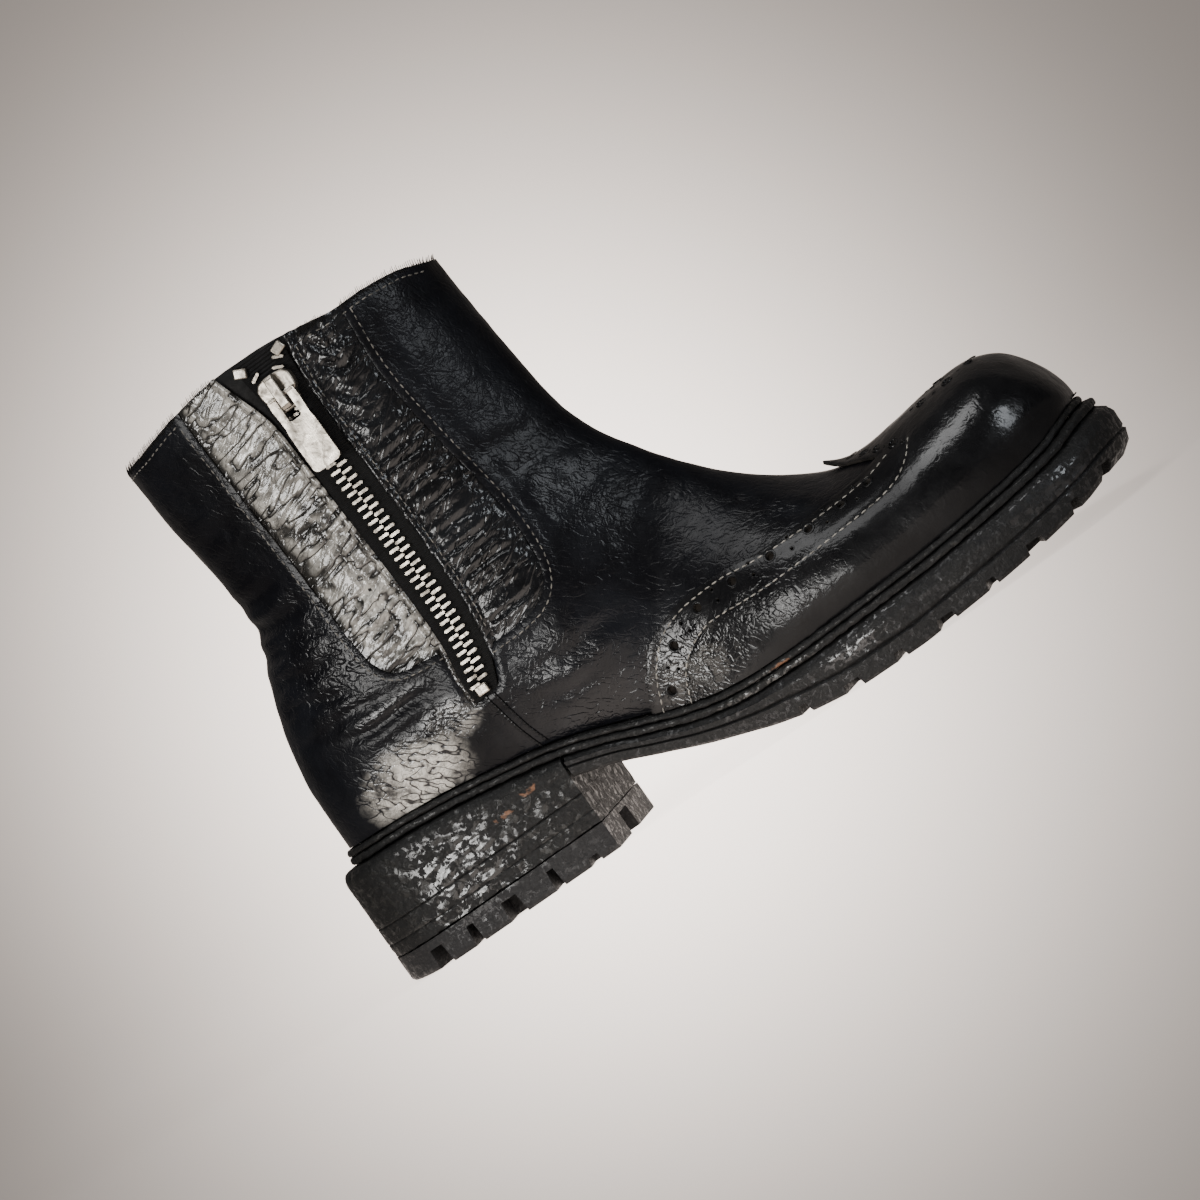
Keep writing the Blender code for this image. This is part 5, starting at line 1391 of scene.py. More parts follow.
def make_wing(leather, edge, dust):
    """Wing cap over the vamp, with its punched holes, their rims and their floors."""
    bm = base_skin()
    s, y, z = coordinates(bm)
    drop_where(bm, (s < 112.0) | (z > 76.0))
    holes = hole_list()
    spots = np.array([h[0][:] for h in holes])

    def near_hole(v, reach):
        return float(np.min(np.linalg.norm(spots - np.array(v.co[:]), axis=1))) < reach * MM

    for reach in (4.6, 3.4):
        close = {v for v in bm.verts if near_hole(v, reach)}
        edges = [e for e in bm.edges if e.verts[0] in close and e.verts[1] in close]
        halve_faces(bm, edges)
    keep_side(bm, split_at(bm, wing_value(*coordinates(bm))))
    drop_loose(bm)
    s, y, z = coordinates(bm)
    gap = np.clip(wing_value(s, y, z), 0.0, 50.0)
    lift = np.full(s.shape, GAP + OVERLAY) + edge_round(gap, 1.1, 0.3)
    rows_gap = np.minimum(path_distance(s, z, UPPER_ROW[::3])[0],
                          path_distance(s, z, LOWER_ROW[::3])[0])
    lift -= np.where(z < 57.0, 0.22 * np.exp(-(rows_gap / 0.8) ** 2), 0.0)
    lift += rough_lift(bm, 22.0, 0.25, 3) + rough_lift(bm, 7.0, 0.08, 4)
    peak = np.hypot(s - WING_PEAK["tip_s"], y - WING_PEAK["tip_y"])
    lift += 2.2 * np.clip(1.0 - peak / 13.0, 0.0, 1.0) ** 2
    push(bm, lift)
    remember("wing", bm)
    spaced = np.array([v.co[:] for v in bm.verts])
    value = np.full(len(spaced), 9.0)
    for place, _, radius in holes:
        gap = np.linalg.norm(spaced - np.array(place[:]), axis=1) / MM - radius
        value = np.minimum(value, gap)
    level = split_at(bm, value, snap=0.05)
    keep_side(bm, level)
    drop_loose(bm)
    lip(bm, 1.2)
    obj = paint_zones(finish_piece("wing_cap_leather", bm, (leather, edge), smooth=50.0))
    wear_in(obj, "wing_leather", "wing_cap")
    along = Vector((1.0, 0.0, 0.0))
    big = [(p - n * 0.12 * MM, n, along) for p, n, r in holes if r > 1.0]
    small = [(p - n * 0.12 * MM, n, along) for p, n, r in holes if r <= 1.0]
    for name, row, shape, mat in (
            ("hole_rims", big, ring_shape(1.95, 0.45, 0.36), leather),
            ("small_hole_rims", small, ring_shape(0.85, 0.25, 0.14), leather),
            ("hole_floors", big, disc_shape(1.8, 1.3), dust)):
        wear_in(repeats(name, [row], shape, mat), "wing_leather")


# -------------------------------------------------------------------- the zip
def zip_centre(z):
    """Station of the zip's middle line at a height."""
    return float(blend(ZIP_LINE, z, "line"))


def make_tape(mat):
    """Both woven tapes as one sheet on the skin: narrower at the zip's lower end, wider
    where they part at the collar, and thick along their two outer cords."""
    bm = bmesh.new()
    rows = []
    for z in np.linspace(66.5, 203.5, 91):
        half = 8.2 - 2.8 * max(0.0, (84.0 - z) / 17.5) + 1.2 * max(0.0, (z - 190.0) / 12.0)
        row = []
        for n in range(13):
            u = n / 6.0 - 1.0
            rib = 0.25 * math.exp(-((abs(u) * half - 4.9) / 0.8) ** 2)
            place, _ = spot_on("skin", zip_centre(z) + half * u, z, INNER, -0.1 + rib)
            row.append(bm.verts.new(place))
        rows.append(row)
    for low, high in pairwise(rows):
        for n in range(12):
            bm.faces.new((low[n], low[n + 1], high[n + 1], high[n]))
    outward(bm)
    obj = finish_piece("zip_tape_cloth", bm, (mat,), smooth=0.0)
    wall = obj.modifiers.new("wall", "SOLIDIFY")
    wall.thickness = 0.5 * MM
    wall.offset = -1.0
    wear_in(applied(obj), "zip_tape", "zip_tape")


def make_teeth(mat):
    """The two rows of teeth, half a pitch apart, closed below the slider and apart
    above it."""
    for side, name in ((-1, "rear"), (1, "front")):
        places = []
        z = 71.25 + (0.0 if side < 0 else 0.5 * ZIP_PITCH)
        while z < 198.5:
            spread = 0.66 * max(0.0, z - SLIDER["high"] + 2.0)
            s = zip_centre(z) + side * (1.72 + spread)
            place, up = spot_on("skin", s, z, INNER, 0.95)
            ahead, _ = spot_on("skin", s + 1.0, z - side * (0.5 if spread > 0.0 else 0.0),
                               INNER, 0.95)
            if not (SLIDER["low"] - 0.5 < z < SLIDER["high"] - 0.5):
                places.append((place, up, (ahead - place).normalized()))
            z += ZIP_PITCH
        obj = repeats("zip_teeth_%s_row" % name, [places], tooth_shape(), mat)
        wear_in(obj, "nickel", "zip_teeth_%s" % name)


def prism_mesh(bm, outline, near, far, axis="Y"):
    """Closed prism over an outline given in metres."""
    rows = []
    for depth in (near, far):
        rows.append([bm.verts.new((a, depth, b) if axis == "Y" else (depth, a, b))
                     for a, b in outline])
    bm.faces.new(rows[0])
    bm.faces.new(rows[1])
    count = len(outline)
    for k in range(count):
        n = (k + 1) % count
        bm.faces.new((rows[0][k], rows[0][n], rows[1][n], rows[1][k]))
    bmesh.ops.recalc_face_normals(bm, faces=bm.faces)


def combined(obj, helper, operation):
    """Cut a plain object out of a piece, or join it to the piece."""
    mod = obj.modifiers.new(operation, "BOOLEAN")
    mod.operation = operation
    mod.object = helper
    mod.solver = "EXACT"


def rounded(obj, width):
    """Round the sharp edges of a metal piece by a width in millimetres."""
    mod = obj.modifiers.new("rounding", "BEVEL")
    mod.width = width * MM
    mod.segments = 3
    mod.limit_method = "ANGLE"
    mod.angle_limit = math.radians(30.0)
    mod.harden_normals = False


def both_halves(x, right):
    """Closed outline from its right half, given from the middle line, and its mirror."""
    return [(x + a, b) for a, b in right] + [(x - a, b) for a, b in reversed(right)]


def make_slider(mat):
    """Slider body, wide where the rows come apart, under the bridge of the pull."""
    low_corner, high_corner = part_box("zip_slider")
    x = 0.5 * (low_corner.x + high_corner.x)
    face = high_corner.y - 1.7 * MM
    outer = low_corner.y
    low, high = low_corner.z, high_corner.z
    right = [(a * MM, low + b * MM)
             for a, b in ((4.3, 0.0), (4.7, 4.2), (6.3, 6.2), (6.6, 8.5))]
    right += [(a * MM, high - b * MM) for a, b in ((6.5, 2.4), (5.0, 0.6), (2.4, 0.0))]
    bm = bmesh.new()
    prism_mesh(bm, both_halves(x, right), face + 4.2 * MM, face)
    body = finish_piece("slider_body", bm, (mat,))
    rounded(body, 0.55)
    arch = 2.3 * MM
    inner = face - arch + 0.1 * MM
    sink = face + 0.8 * MM
    profile = [(y, low + b * MM) for y, b in
               ((inner, 3.0), (sink, 2.4), (sink, 0.6), (outer + MM, 0.6), (outer, 1.8))]
    profile += [(y, high - b * MM) for y, b in
                ((outer, 1.2), (outer + MM, 0.1), (sink, 0.0), (sink, 2.4), (inner, 3.3))]
    bm = bmesh.new()
    prism_mesh(bm, profile, x - 1.7 * MM, x + 1.7 * MM, axis="X")
    bridge = finish_piece("slider_bridge", bm, (mat,))
    rounded(bridge, 0.35)
    for obj in (body, bridge):
        wear_in(applied(obj), "nickel")
    body = bpy.data.objects["slider_body"]
    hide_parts("zip_slider")


def make_pull(mat):
    """Pull tab with its window, and the bar on which it swings in the bridge."""
    low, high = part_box("zip_pull")
    x, y = 0.5 * (low.x + high.x), PULL_Y * MM
    half = 5.5 * MM
    pivot = SLIDER["pivot"] * MM
    right = [(half - a * MM, high.z - b * MM)
             for a, b in ((0.7, 0.0), (0.2, 1.0), (0.0, 4.0), (0.4, 11.0), (0.0, 13.5))]
    right += [(half - a * MM, low.z + b * MM) for a, b in ((0.0, 1.6), (0.5, 0.6), (1.5, 0.0))]
    bm = bmesh.new()
    prism_mesh(bm, both_halves(x, right), y + 0.65 * MM, y - 0.65 * MM)
    obj = finish_piece("pull_tab", bm, (mat,))
    window = bmesh.new()
    corners = [(a * MM, pivot + b * MM) for a, b in ((1.8, -9.2), (2.4, -8.8), (2.4, 4.0))]
    prism_mesh(window, both_halves(x, corners), y + 3.0 * MM, y - 3.0 * MM)
    hole = plain_object("pull_window", window)
    rod = bmesh.new()
    bmesh.ops.create_cone(rod, cap_ends=True, segments=20, radius1=0.85 * MM,
                          radius2=0.85 * MM, depth=9.4 * MM)
    bmesh.ops.rotate(rod, verts=rod.verts, cent=(0.0, 0.0, 0.0),
                     matrix=Matrix.Rotation(math.radians(90.0), 3, "Y"))
    bmesh.ops.translate(rod, verts=rod.verts, vec=(x, y, pivot))
    bar = plain_object("pull_bar", rod)
    combined(obj, hole, "DIFFERENCE")
    combined(obj, bar, "UNION")
    rounded(obj, 0.28)
    made = applied(obj)
    for helper in (hole, bar):
        bpy.data.objects.remove(helper, do_unlink=True)
    wear_in(made, "nickel", "zip_pull", body="pull_tab")


def make_stops(mat):
    """Clamped blocks that end the two rows above the slider, and one below."""
    bm = bmesh.new()
    for s, z, lean in ((83.6, 200.0, 0.45), (98.8, 199.6, -0.35), (87.6, 69.2, 0.0)):
        place, up = spot_on("skin", s, z, INNER, 0.9)
        turn = up.to_track_quat("-Y", "Z").to_matrix().to_4x4()
        tilt = Matrix.Rotation(lean, 4, "Y")
        for v in bmesh.ops.create_cube(bm, size=1.0)["verts"]:
            v.co = Vector((v.co.x * 4.6, v.co.y * 2.2, v.co.z * 3.4)) * MM
            v.co = Matrix.Translation(place) @ turn @ tilt @ v.co
    bmesh.ops.recalc_face_normals(bm, faces=bm.faces)
    obj = finish_piece("zip_stops", bm, (mat,))
    rounded(obj, 0.5)
    wear_in(applied(obj), "nickel")


# ------------------------------------------------------------------ stitching
def stitched(surface, side, path, lift=0.06):
    """Row of places on a piece along a side-view path."""
    return [spot_on(surface, float(s), float(z), side, lift) for s, z in path[:, :2]]


def part_of(path, low, high):
    """The points of a path between two heights."""
    return path[(path[:, 1] > low) & (path[:, 1] < high)]


def collar_path(first, last):
    """Side-view path 3 mm under the collar's rim."""
    s = np.arange(first, last, 2.0)
    return np.stack((s, rim_height(s) - 3.0), axis=1)


def make_fray(leather):
    """Loose fibres of the raw leather, standing up all along the collar's rim."""
    draw = np.random.default_rng(12)
    row = []
    for surface, side, first, last in (
            ("upper", INNER, 23.0, 56.0), ("upper", INNER, 121.5, 149.0),
            ("upper", OUTER, 23.0, 56.0), ("upper", OUTER, 121.5, 149.0),
            ("insert_rear", INNER, 60.0, 73.0), ("insert_front", INNER, 106.0, 117.0),
            ("insert_outer", OUTER, 60.0, 117.0)):
        for s in np.arange(first, last, 0.55):
            z = float(rim_height(s)) - 1.2 + draw.uniform(-0.5, 0.7)
            place, normal = spot_on(surface, float(s), z, side)
            lean = Vector((draw.uniform(-0.9, 0.9), 0.0, 1.0)) + 0.8 * normal
            row.append((place, lean.normalized(), Vector((1.0, 0.0, 0.0))))
    obj = repeats("collar_fray", [row], fibre_shape(2.8, 0.22), leather)
    wear_in(obj, "black_leather")


def make_stitches(sizes, grey, black, cord):
    """Thread rows on the wing cap, the panels, the collar and the zip, and the waxed
    cord in the quarter's seam."""
    wing = [stitched("wing", side, path) for side in SIDES for path in (UPPER_ROW, LOWER_ROW)]
    panels = [stitched("upper", side, part_of(shifted(path, -off), low, high)) for side in SIDES
              for path, off, low, high in ((REAR_EDGE, 2.2, 80.0, 196.0),
                                           (FRONT_EDGE, 2.6, 60.0, 196.5))]
    collar = [stitched("upper", side, collar_path(first, last)) for side in SIDES
              for first, last in ((23.0, 55.0), (121.5, 148.0))]
    collar += [stitched("insert_rear", INNER, collar_path(60.0, 73.0)),
               stitched("insert_front", INNER, collar_path(106.0, 117.0)),
               stitched("insert_outer", OUTER, collar_path(60.0, 117.0))]
    beside = [stitched("insert_rear", INNER, part_of(shifted(REAR_FOLD, -2.2), 92.0, 195.0)),
              stitched("insert_front", INNER, part_of(shifted(FRONT_FOLD, 2.4), 86.0, 196.0))]
    seam = [stitched("upper", INNER, smooth_path(row["way"])[1:-1], 0.15)
            for row in QUARTER_SEAM]
    wide, close = sizes.stitch_pitch, sizes.stitch_pitch - 0.3
    for name, rows, thread, mat, pitch, uneven, seed in (
            ("wing_stitches", wing, (2.3, 0.55, 0.5), grey, wide, 0.10, 4),
            ("panel_stitches", panels, (2.0, 0.5, 0.45), black, close, 0.12, 5),
            ("collar_stitches", collar, (2.0, 0.5, 0.45), black, close, 0.12, 7),
            ("zip_stitches", beside, (1.9, 0.45, 0.4), black, 2.5, 0.12, 6),
            ("seam_cord", seam, (3.4, 1.1, 1.1), cord, 1.5, 0.0, 8)):
        obj = repeats(name, rows, thread_shape(*thread), mat, pitch, uneven, seed)
        wear_in(obj, "wing_leather" if rows is wing else "black_leather")


# ---------------------------------------------------------------- sole and heel
LIFT_NOTCHES = table(
    "s width height",
    (21.5, 5.6, 7.3), (36.5, 2.6, 7.3), (52.8, 6, 7.3), (70, 2.6, 7.3), (84.8, 3.4, 3),
)
SOLE_START = HEEL_LENGTH + 1.0
TOE, HEEL = 0.0, math.pi
CHANNEL = {"y": -2.0, "half": 6.5, "wall": 7.4, "s": 85.0, "height": 8.2}

# Where the sole's edges are rubbed to a shine, and where brown shows, in the side view.
SHINE = table(
    "s z ds dz gloss",
    (43, 23, 22, 16, 1), (78, 22, 16, 10, 0.35), (166, 17.5, 18, 3.4, 1), (201, 12, 12, 3.6, 0.9),
    (215, 15.6, 24, 1.6, 0.6), (283, 16, 20, 6, 0.8),
)
BROWN = table(
    "s z ds dz",
    (68, 30.6, 7, 1.8), (80, 33, 6, 2.2), (176, 20.5, 10, 1),
)


def both_ways(last, step, middle):
    """Signed angles about the toe or the heel's back, alike on both sides and evenly
    spaced along the sole's edge."""
    fine = np.linspace(0.0, last, 4001)
    run = run_length(np.stack(edge_point(np.mod(middle + fine, math.tau)), axis=1))
    half = np.interp(np.linspace(0.0, run[-1], int(run[-1] / step) + 1), run, fine)
    return np.concatenate((-half[::-1], half[1:]))


def lug_gaps():
    """Gaps between the tread's lugs: angle from the toe, width and roof height."""
    fine = np.arange(float(turn_at(174.5)), 0.12, -0.001)
    run = run_length(np.stack(edge_point(fine), axis=1))
    spots = np.interp(np.arange(0.0, run[-1], LUG_PITCH), run, fine)
    return [{"u": float(u), "width": 5.6 if k % 2 else 3.0,
             "roof": float(blend(RISE, edge_point(u)[0], "tread")) + LUG_DEPTH}
            for k, u in enumerate(spots)]


def lift_gaps():
    return [{"u": HEEL - float(turn_at(row["s"])), "width": row["width"],
             "roof": row["height"]} for row in LIFT_NOTCHES]


def notched(angles, gaps, middle):
    """Angles with near columns at both walls of every gap, and the roof's height over
    each column, 0 where there is no gap."""
    found = [(float(u), 0.0) for u in angles]
    for gap in gaps:
        for u in (gap["u"], -gap["u"]):
            s0, y0 = edge_point(np.mod(middle + u - 0.002, math.tau))
            s1, y1 = edge_point(np.mod(middle + u + 0.002, math.tau))
            speed = float(np.hypot(s1 - s0, y1 - y0)) / 0.004
            half, slope = 0.5 * gap["width"] / speed, 0.6 / speed
            found = [row for row in found if abs(row[0] - u) > half + 1.3 * slope]
            found += [(float(x), gap["roof"]) for x in np.linspace(u - half, u + half, 5)]
            found += [(u - half - slope, 0.0), (u + half + slope, 0.0)]
    found.sort(key=lambda row: row[0])
    return np.array([row[0] for row in found]), np.array([row[1] for row in found])


def layer_row(turn, inset, below, z=None):
    """Row of points inset from the edge, at a height or below the feather line's level."""
    s, y = rim_point(turn, inset)
    out = layer_inset(turn, "feather") - inset
    level = np.where(out < 0.0, blend(RISE, s, "feather"),
                     feather(turn)[2] - layer_inset(turn, "fall") * out) - below
    return np.stack((s, y, level if z is None else z + 0.0 * s), axis=1)


def denser(rows, step):
    """Add rows between given rows, so that none are further apart than step."""
    fresh = [rows[0]]
    for low, high in pairwise(rows):
        far = float(np.max(np.linalg.norm(high - low, axis=1)))
        count = max(1, int(math.ceil(far / step)))
        fresh += [low + (high - low) * k / count for k in range(1, count + 1)]
    return fresh


def bridged(row, shares):
    """Grid of points straight across between a row's two mirrored halves."""
    half = (len(row) + 1) // 2
    near, far = row[:half], row[::-1][:half]
    return [near + (far - near) * share for share in shares]


def cut_square(rows, corner, shares, station):
    """Caps and the flat end of an open stack of rows: the top, the bottom and the face
    at the station.  corner is the row on the bottom's outer edge."""
    for row in rows:
        row[[0, -1], 0] = station
    last = rows[-1]
    y = [row[0, 1] for row in rows[corner:]]
    y += [last[0, 1] + (last[-1, 1] - last[0, 1]) * f for f in shares[1:-1]]
    y += [row[-1, 1] for row in rows[:corner - 1:-1]]
    across = (np.array(y) - y[0]) / (y[-1] - y[0])
    face = [row[0] + (row[-1] - row[0]) * across[:, None] for row in rows[:corner + 1]]
    return [bridged(rows[0], across), bridged(last, shares), face]


def grid_mesh(grids):
    """Closed mesh of grids of points in s, y, z that meet at their borders."""
    bm = bmesh.new()
    for rows in grids:
        made = [[bm.verts.new(world(*p)) for p in row] for row in rows]
        for low, high in pairwise(made):
            for k in range(len(low) - 1):
                bm.faces.new((low[k], low[k + 1], high[k + 1], high[k]))
    bmesh.ops.remove_doubles(bm, verts=bm.verts, dist=0.012 * MM)
    bmesh.ops.dissolve_degenerate(bm, edges=bm.edges, dist=0.012 * MM)
    bmesh.ops.recalc_face_normals(bm, faces=bm.faces)
    bm.normal_update()
    return bm


def pits(bm, size, depth, seed):
    """Shallow worn hollows, as millimetres of lift."""
    found = ripples(bm, size, seed * Vector((9.1, 4.7, 2.9)))
    return -depth * np.clip(found / 0.3, 0.0, 1.0)


def paint_shine(obj):
    """Store how polished and how brown each point of a sole piece is."""
    s, y, z = mesh_places(obj.data)
    gloss = np.full(s.shape, 0.12)
    brown = np.zeros(s.shape)
    for row in SHINE:
        far = np.abs((s - row["s"]) / row["ds"]) ** 3 + np.abs((z - row["z"]) / row["dz"]) ** 3
        gloss = np.maximum(gloss, row["gloss"] * np.exp(-far))
    for row in BROWN:
        far = ((s - row["s"]) / row["ds"]) ** 2 + ((z - row["z"]) / row["dz"]) ** 2
        brown = np.maximum(brown, np.exp(-far) * (y < 0.0))
    store(obj.data, "gloss", gloss)
    store(obj.data, "brown", brown)
    return obj


def make_welt(mat):
    """Ring of welt leather with a rounded, rubbed edge and a sunk stitch channel."""
    turn = np.mod(both_ways(math.pi, 0.9, TOE), math.tau)
    edge = layer_inset(turn, "welt")
    under = layer_inset(turn, "feather") + STRIP
    low = GAP + WELT
    keys = ((3.2, GAP), (2.3, GAP), (2.05, GAP + 0.4), (1.6, GAP + 0.4), (1.3, GAP - 0.05),
            (0.75, GAP), (0.25, GAP + 0.3), (0.0, GAP + 0.85), (0.0, low - 0.7),
            (0.2, low - 0.25), (0.6, low), (3.2, low))
    rows = denser([layer_row(turn, edge + inset, depth) for inset, depth in keys], 0.7)
    inner = [rows[0], layer_row(turn, under, GAP), layer_row(turn, under, low), rows[-1]]
    bm = grid_mesh([rows, inner])
    push(bm, pits(bm, 3.2, 0.2, 3) + rough_lift(bm, 11.0, 0.14, 4))
    remember("welt", bm)
    obj = paint_shine(finish_piece("welt_strip", bm, (mat,), smooth=50.0))
    wear_in(obj, "waxed_edge", "welt")


def make_midsole(mat):
    """Leather slab with its edge trimmed round and waxed."""
    turn = np.mod(both_ways(math.pi, 0.9, TOE), math.tau)
    edge = layer_inset(turn, "midsole")
    top = GAP + WELT + GAP
    low = top + MIDSOLE
    keys = ((4.0, top), (0.7, top), (0.2, top + 0.25), (0.0, top + 0.7), (0.0, low - 0.7),
            (0.2, low - 0.25), (0.7, low), (4.0, low))
    rows = denser([layer_row(turn, edge + inset, depth) for inset, depth in keys], 0.7)
    across = np.linspace(0.0, 1.0, 9)
    bm = grid_mesh([rows, bridged(rows[0], across), bridged(rows[-1], across)])
    push(bm, pits(bm, 2.6, 0.26, 6) + rough_lift(bm, 9.0, 0.14, 7))
    obj = paint_shine(finish_piece("midsole_layer", bm, (mat,), smooth=50.0))
    wear_in(obj, "waxed_edge", "midsole")


def make_outsole(mat):
    """Lugged sole: waxed side, a sunk line over the lugs, and the gaps between them."""
    angles, roof = notched(both_ways(float(turn_at(SOLE_START)), 1.1, TOE), lug_gaps(), TOE)
    turn = np.mod(angles, math.tau)
    below = GAP + WELT + GAP + MIDSOLE + 1.6 * GAP
    mid = layer_inset(turn, "midsole")
    bevel = layer_inset(turn, "bevel")
    tread = blend(RISE, rim_point(turn, layer_inset(turn, "feather"))[0], "tread")
    high = layer_row(turn, mid, below)[:, 2]
    band = np.minimum(8.2, 0.62 * (high - tread))
    shoulder = layer_row(turn, 0.35 * mid + 0.1, below)[:, 2] - 1.6
    side = 0.55 * layer_row(turn, 0.0 * mid, below)[:, 2] + 0.45 * (tread + band)
    levels = ((mid + 4.0, None), (mid + 0.9, None),
              (mid + 0.45, layer_row(turn, mid + 0.5, below)[:, 2] - 0.3),
              (0.35 * mid + 0.1, shoulder), (0.0, side), (0.15, tread + band),
              (0.9, tread + 0.9 * band), (0.0, tread + 0.8 * band),
              (0.25 * bevel, tread + 0.4 + 0.5 * bevel), (bevel, tread))
    rows = denser([layer_row(turn, inset, below, z) for inset, z in levels], 0.85)
    corner = len(rows) - 1
    rows += [layer_row(turn, inset, below, tread) for inset in (6.0, 12.0, 18.5, 19.1)]
    for row in rows[:-1]:
        row[:, 2] = np.maximum(row[:, 2], roof)
    ends = cut_square(rows, corner, np.linspace(0.0, 1.0, 19), SOLE_START)
    bm = grid_mesh([rows] + ends)
    s, _, z = coordinates(bm)
    over = np.clip((z - blend(RISE, s, "tread") - 5.0) / 1.5, 0.0, 1.0)
    lift = over * (pits(bm, 2.4, 0.2, 9) + rough_lift(bm, 8.0, 0.12, 10))
    push(bm, lift + rough_lift(bm, 6.0, 0.06, 11) * np.clip(z - 0.6, 0.0, 1.0))
    obj = paint_shine(finish_piece("tread_sole", bm, (mat,), smooth=42.0))
    wear_in(obj, "sole_rubber", "outsole")


def make_heel(mat):
    """Stacked heel block: its layers' lines show under flaking wax."""
    turn = np.mod(HEEL + both_ways(HEEL - float(turn_at(HEEL_LENGTH)), 0.8, HEEL),
                  math.tau)
    below = GAP + WELT + GAP + MIDSOLE + GAP
    rows = [layer_row(turn, inset, below + drop) for inset, drop in (
        (6.0, 0.2), (3.2, 0.2), (1.9, 0.5), (1.0, 1.3), (0.35, 2.5), (0.1, 3.8))]
    rows += [layer_row(turn, inset, below, z) for inset, z in (
        (0.0, 25.0), (0.0, 22.5), (0.45, 22.1), (0.05, 21.7), (0.1, 16.0), (0.4, 15.6),
        (0.12, 15.2), (0.2, TOP_LIFT + GAP + 0.3), (0.6, TOP_LIFT + GAP))]
    rows = denser(rows, 0.75)
    ends = cut_square(rows, len(rows) - 1, np.linspace(0.0, 1.0, 61), HEEL_LENGTH)
    bm = grid_mesh([rows] + ends)
    s, _, z = coordinates(bm)
    wall = np.clip((s - 90.0) / 4.0, 0.0, 1.0)
    push(bm, (1.0 - 0.5 * wall) * (pits(bm, 3.4, 0.24, 14) + pits(bm, 1.7, 0.12, 15)
                                   + rough_lift(bm, 12.0, 0.2, 16)))
    obj = paint_shine(finish_piece("heel_stack", bm, (mat,), smooth=45.0))
    wear_in(obj, "waxed_edge", "heel_block")


def make_top_lift(mat):
    """Rubber top lift: gaps in its edge and a channel at the breast."""
    angles = both_ways(HEEL - float(turn_at(HEEL_LENGTH)), 0.9, HEEL)
    angles, roof = notched(angles, lift_gaps(), HEEL)
    turn = np.mod(HEEL + angles, math.tau)
    worn = np.clip((24.0 - edge_point(turn)[0]) / 24.0, 0.0, 1.0)
    rows = denser([layer_row(turn, 0.0, 0.0, TOP_LIFT), layer_row(turn, 0.0, 0.0, 1.0 + worn),
                   layer_row(turn, 0.7, 0.0, worn)], 1.2)
    corner = len(rows) - 1
    rows += [layer_row(turn, inset, 0.0, worn) for inset in (4.0, 8.0, 11.8, 12.4)]
    for row in rows[:-1]:
        row[:, 2] = np.maximum(row[:, 2], roof)
    last = rows[-1]
    shares = set(np.linspace(0.0, 1.0, 15))
    for half in (CHANNEL["half"], CHANNEL["wall"]):
        for way in (-1.0, 1.0):
            y = CHANNEL["y"] + way * half
            shares.add((y - last[0, 1]) / (last[-1, 1] - last[0, 1]))
    ends = cut_square(rows, corner, np.array(sorted(shares)), HEEL_LENGTH)
    for grid in ends[1:]:
        for row in grid:
            open_way = np.abs(row[:, 1] - CHANNEL["y"]) < 0.5 * (CHANNEL["half"]
                                                               + CHANNEL["wall"])
            low = open_way & (row[:, 0] > CHANNEL["s"]) & (row[:, 2] < CHANNEL["height"])
            row[low, 2] = CHANNEL["height"]
    bm = grid_mesh([rows] + ends)
    push(bm, rough_lift(bm, 7.0, 0.12, 19) * np.clip(coordinates(bm)[2] - 0.6, 0.0, 1.0))
    obj = paint_shine(finish_piece("top_lift", bm, (mat,), smooth=42.0))
    wear_in(obj, "top_lift_rubber", "heel_top_lift")


# ------------------------------------------------------------ stage and camera
CAMERA = {"at": (0.2728, -1.2679, 0.0907), "look": (-0.0241, -0.0024, 0.0703),
          "roll": 35.4, "lens": 115.8}
# The painted glow of the sweep, a painted pool of light: its brightest place across and up, as
# seen from the camera, how far out it begins and ends to fade, its strength there and the share
# left at the end.
GLOW = {"across": 0.2545, "up": 0.0165, "near": 0.02, "far": 0.26, "strength": 5.3,
        "left": 0.063}
SWEEP = {"half": 5.0, "front": -3.4, "bend": 1.8, "radius": 1.2, "top": 5.0}
LIGHTS = table(
    "name at target size power colour",
    ("left softbox", (-0.66, -1.2, 0.30), (0.0, 0.0, 0.08), (0.42, 0.65), 21.0,
     (1.0, 0.985, 0.96)),
    ("front card", (-0.46, -1.4, 0.10), (0.0, 0.0, 0.08), (0.32, 0.3), 8.0,
     (1.0, 0.99, 0.97)),
    ("right softbox", (1.05, -0.75, 0.5), (0.0, 0.0, 0.08), (0.3, 0.7), 10.0,
     (0.90, 0.95, 1.0)),
    ("top softbox", (0.0, -0.35, 1.3), (0.0, 0.0, 0.05), (0.8, 0.5), 12.0,
     (1.0, 1.0, 1.0)),
)


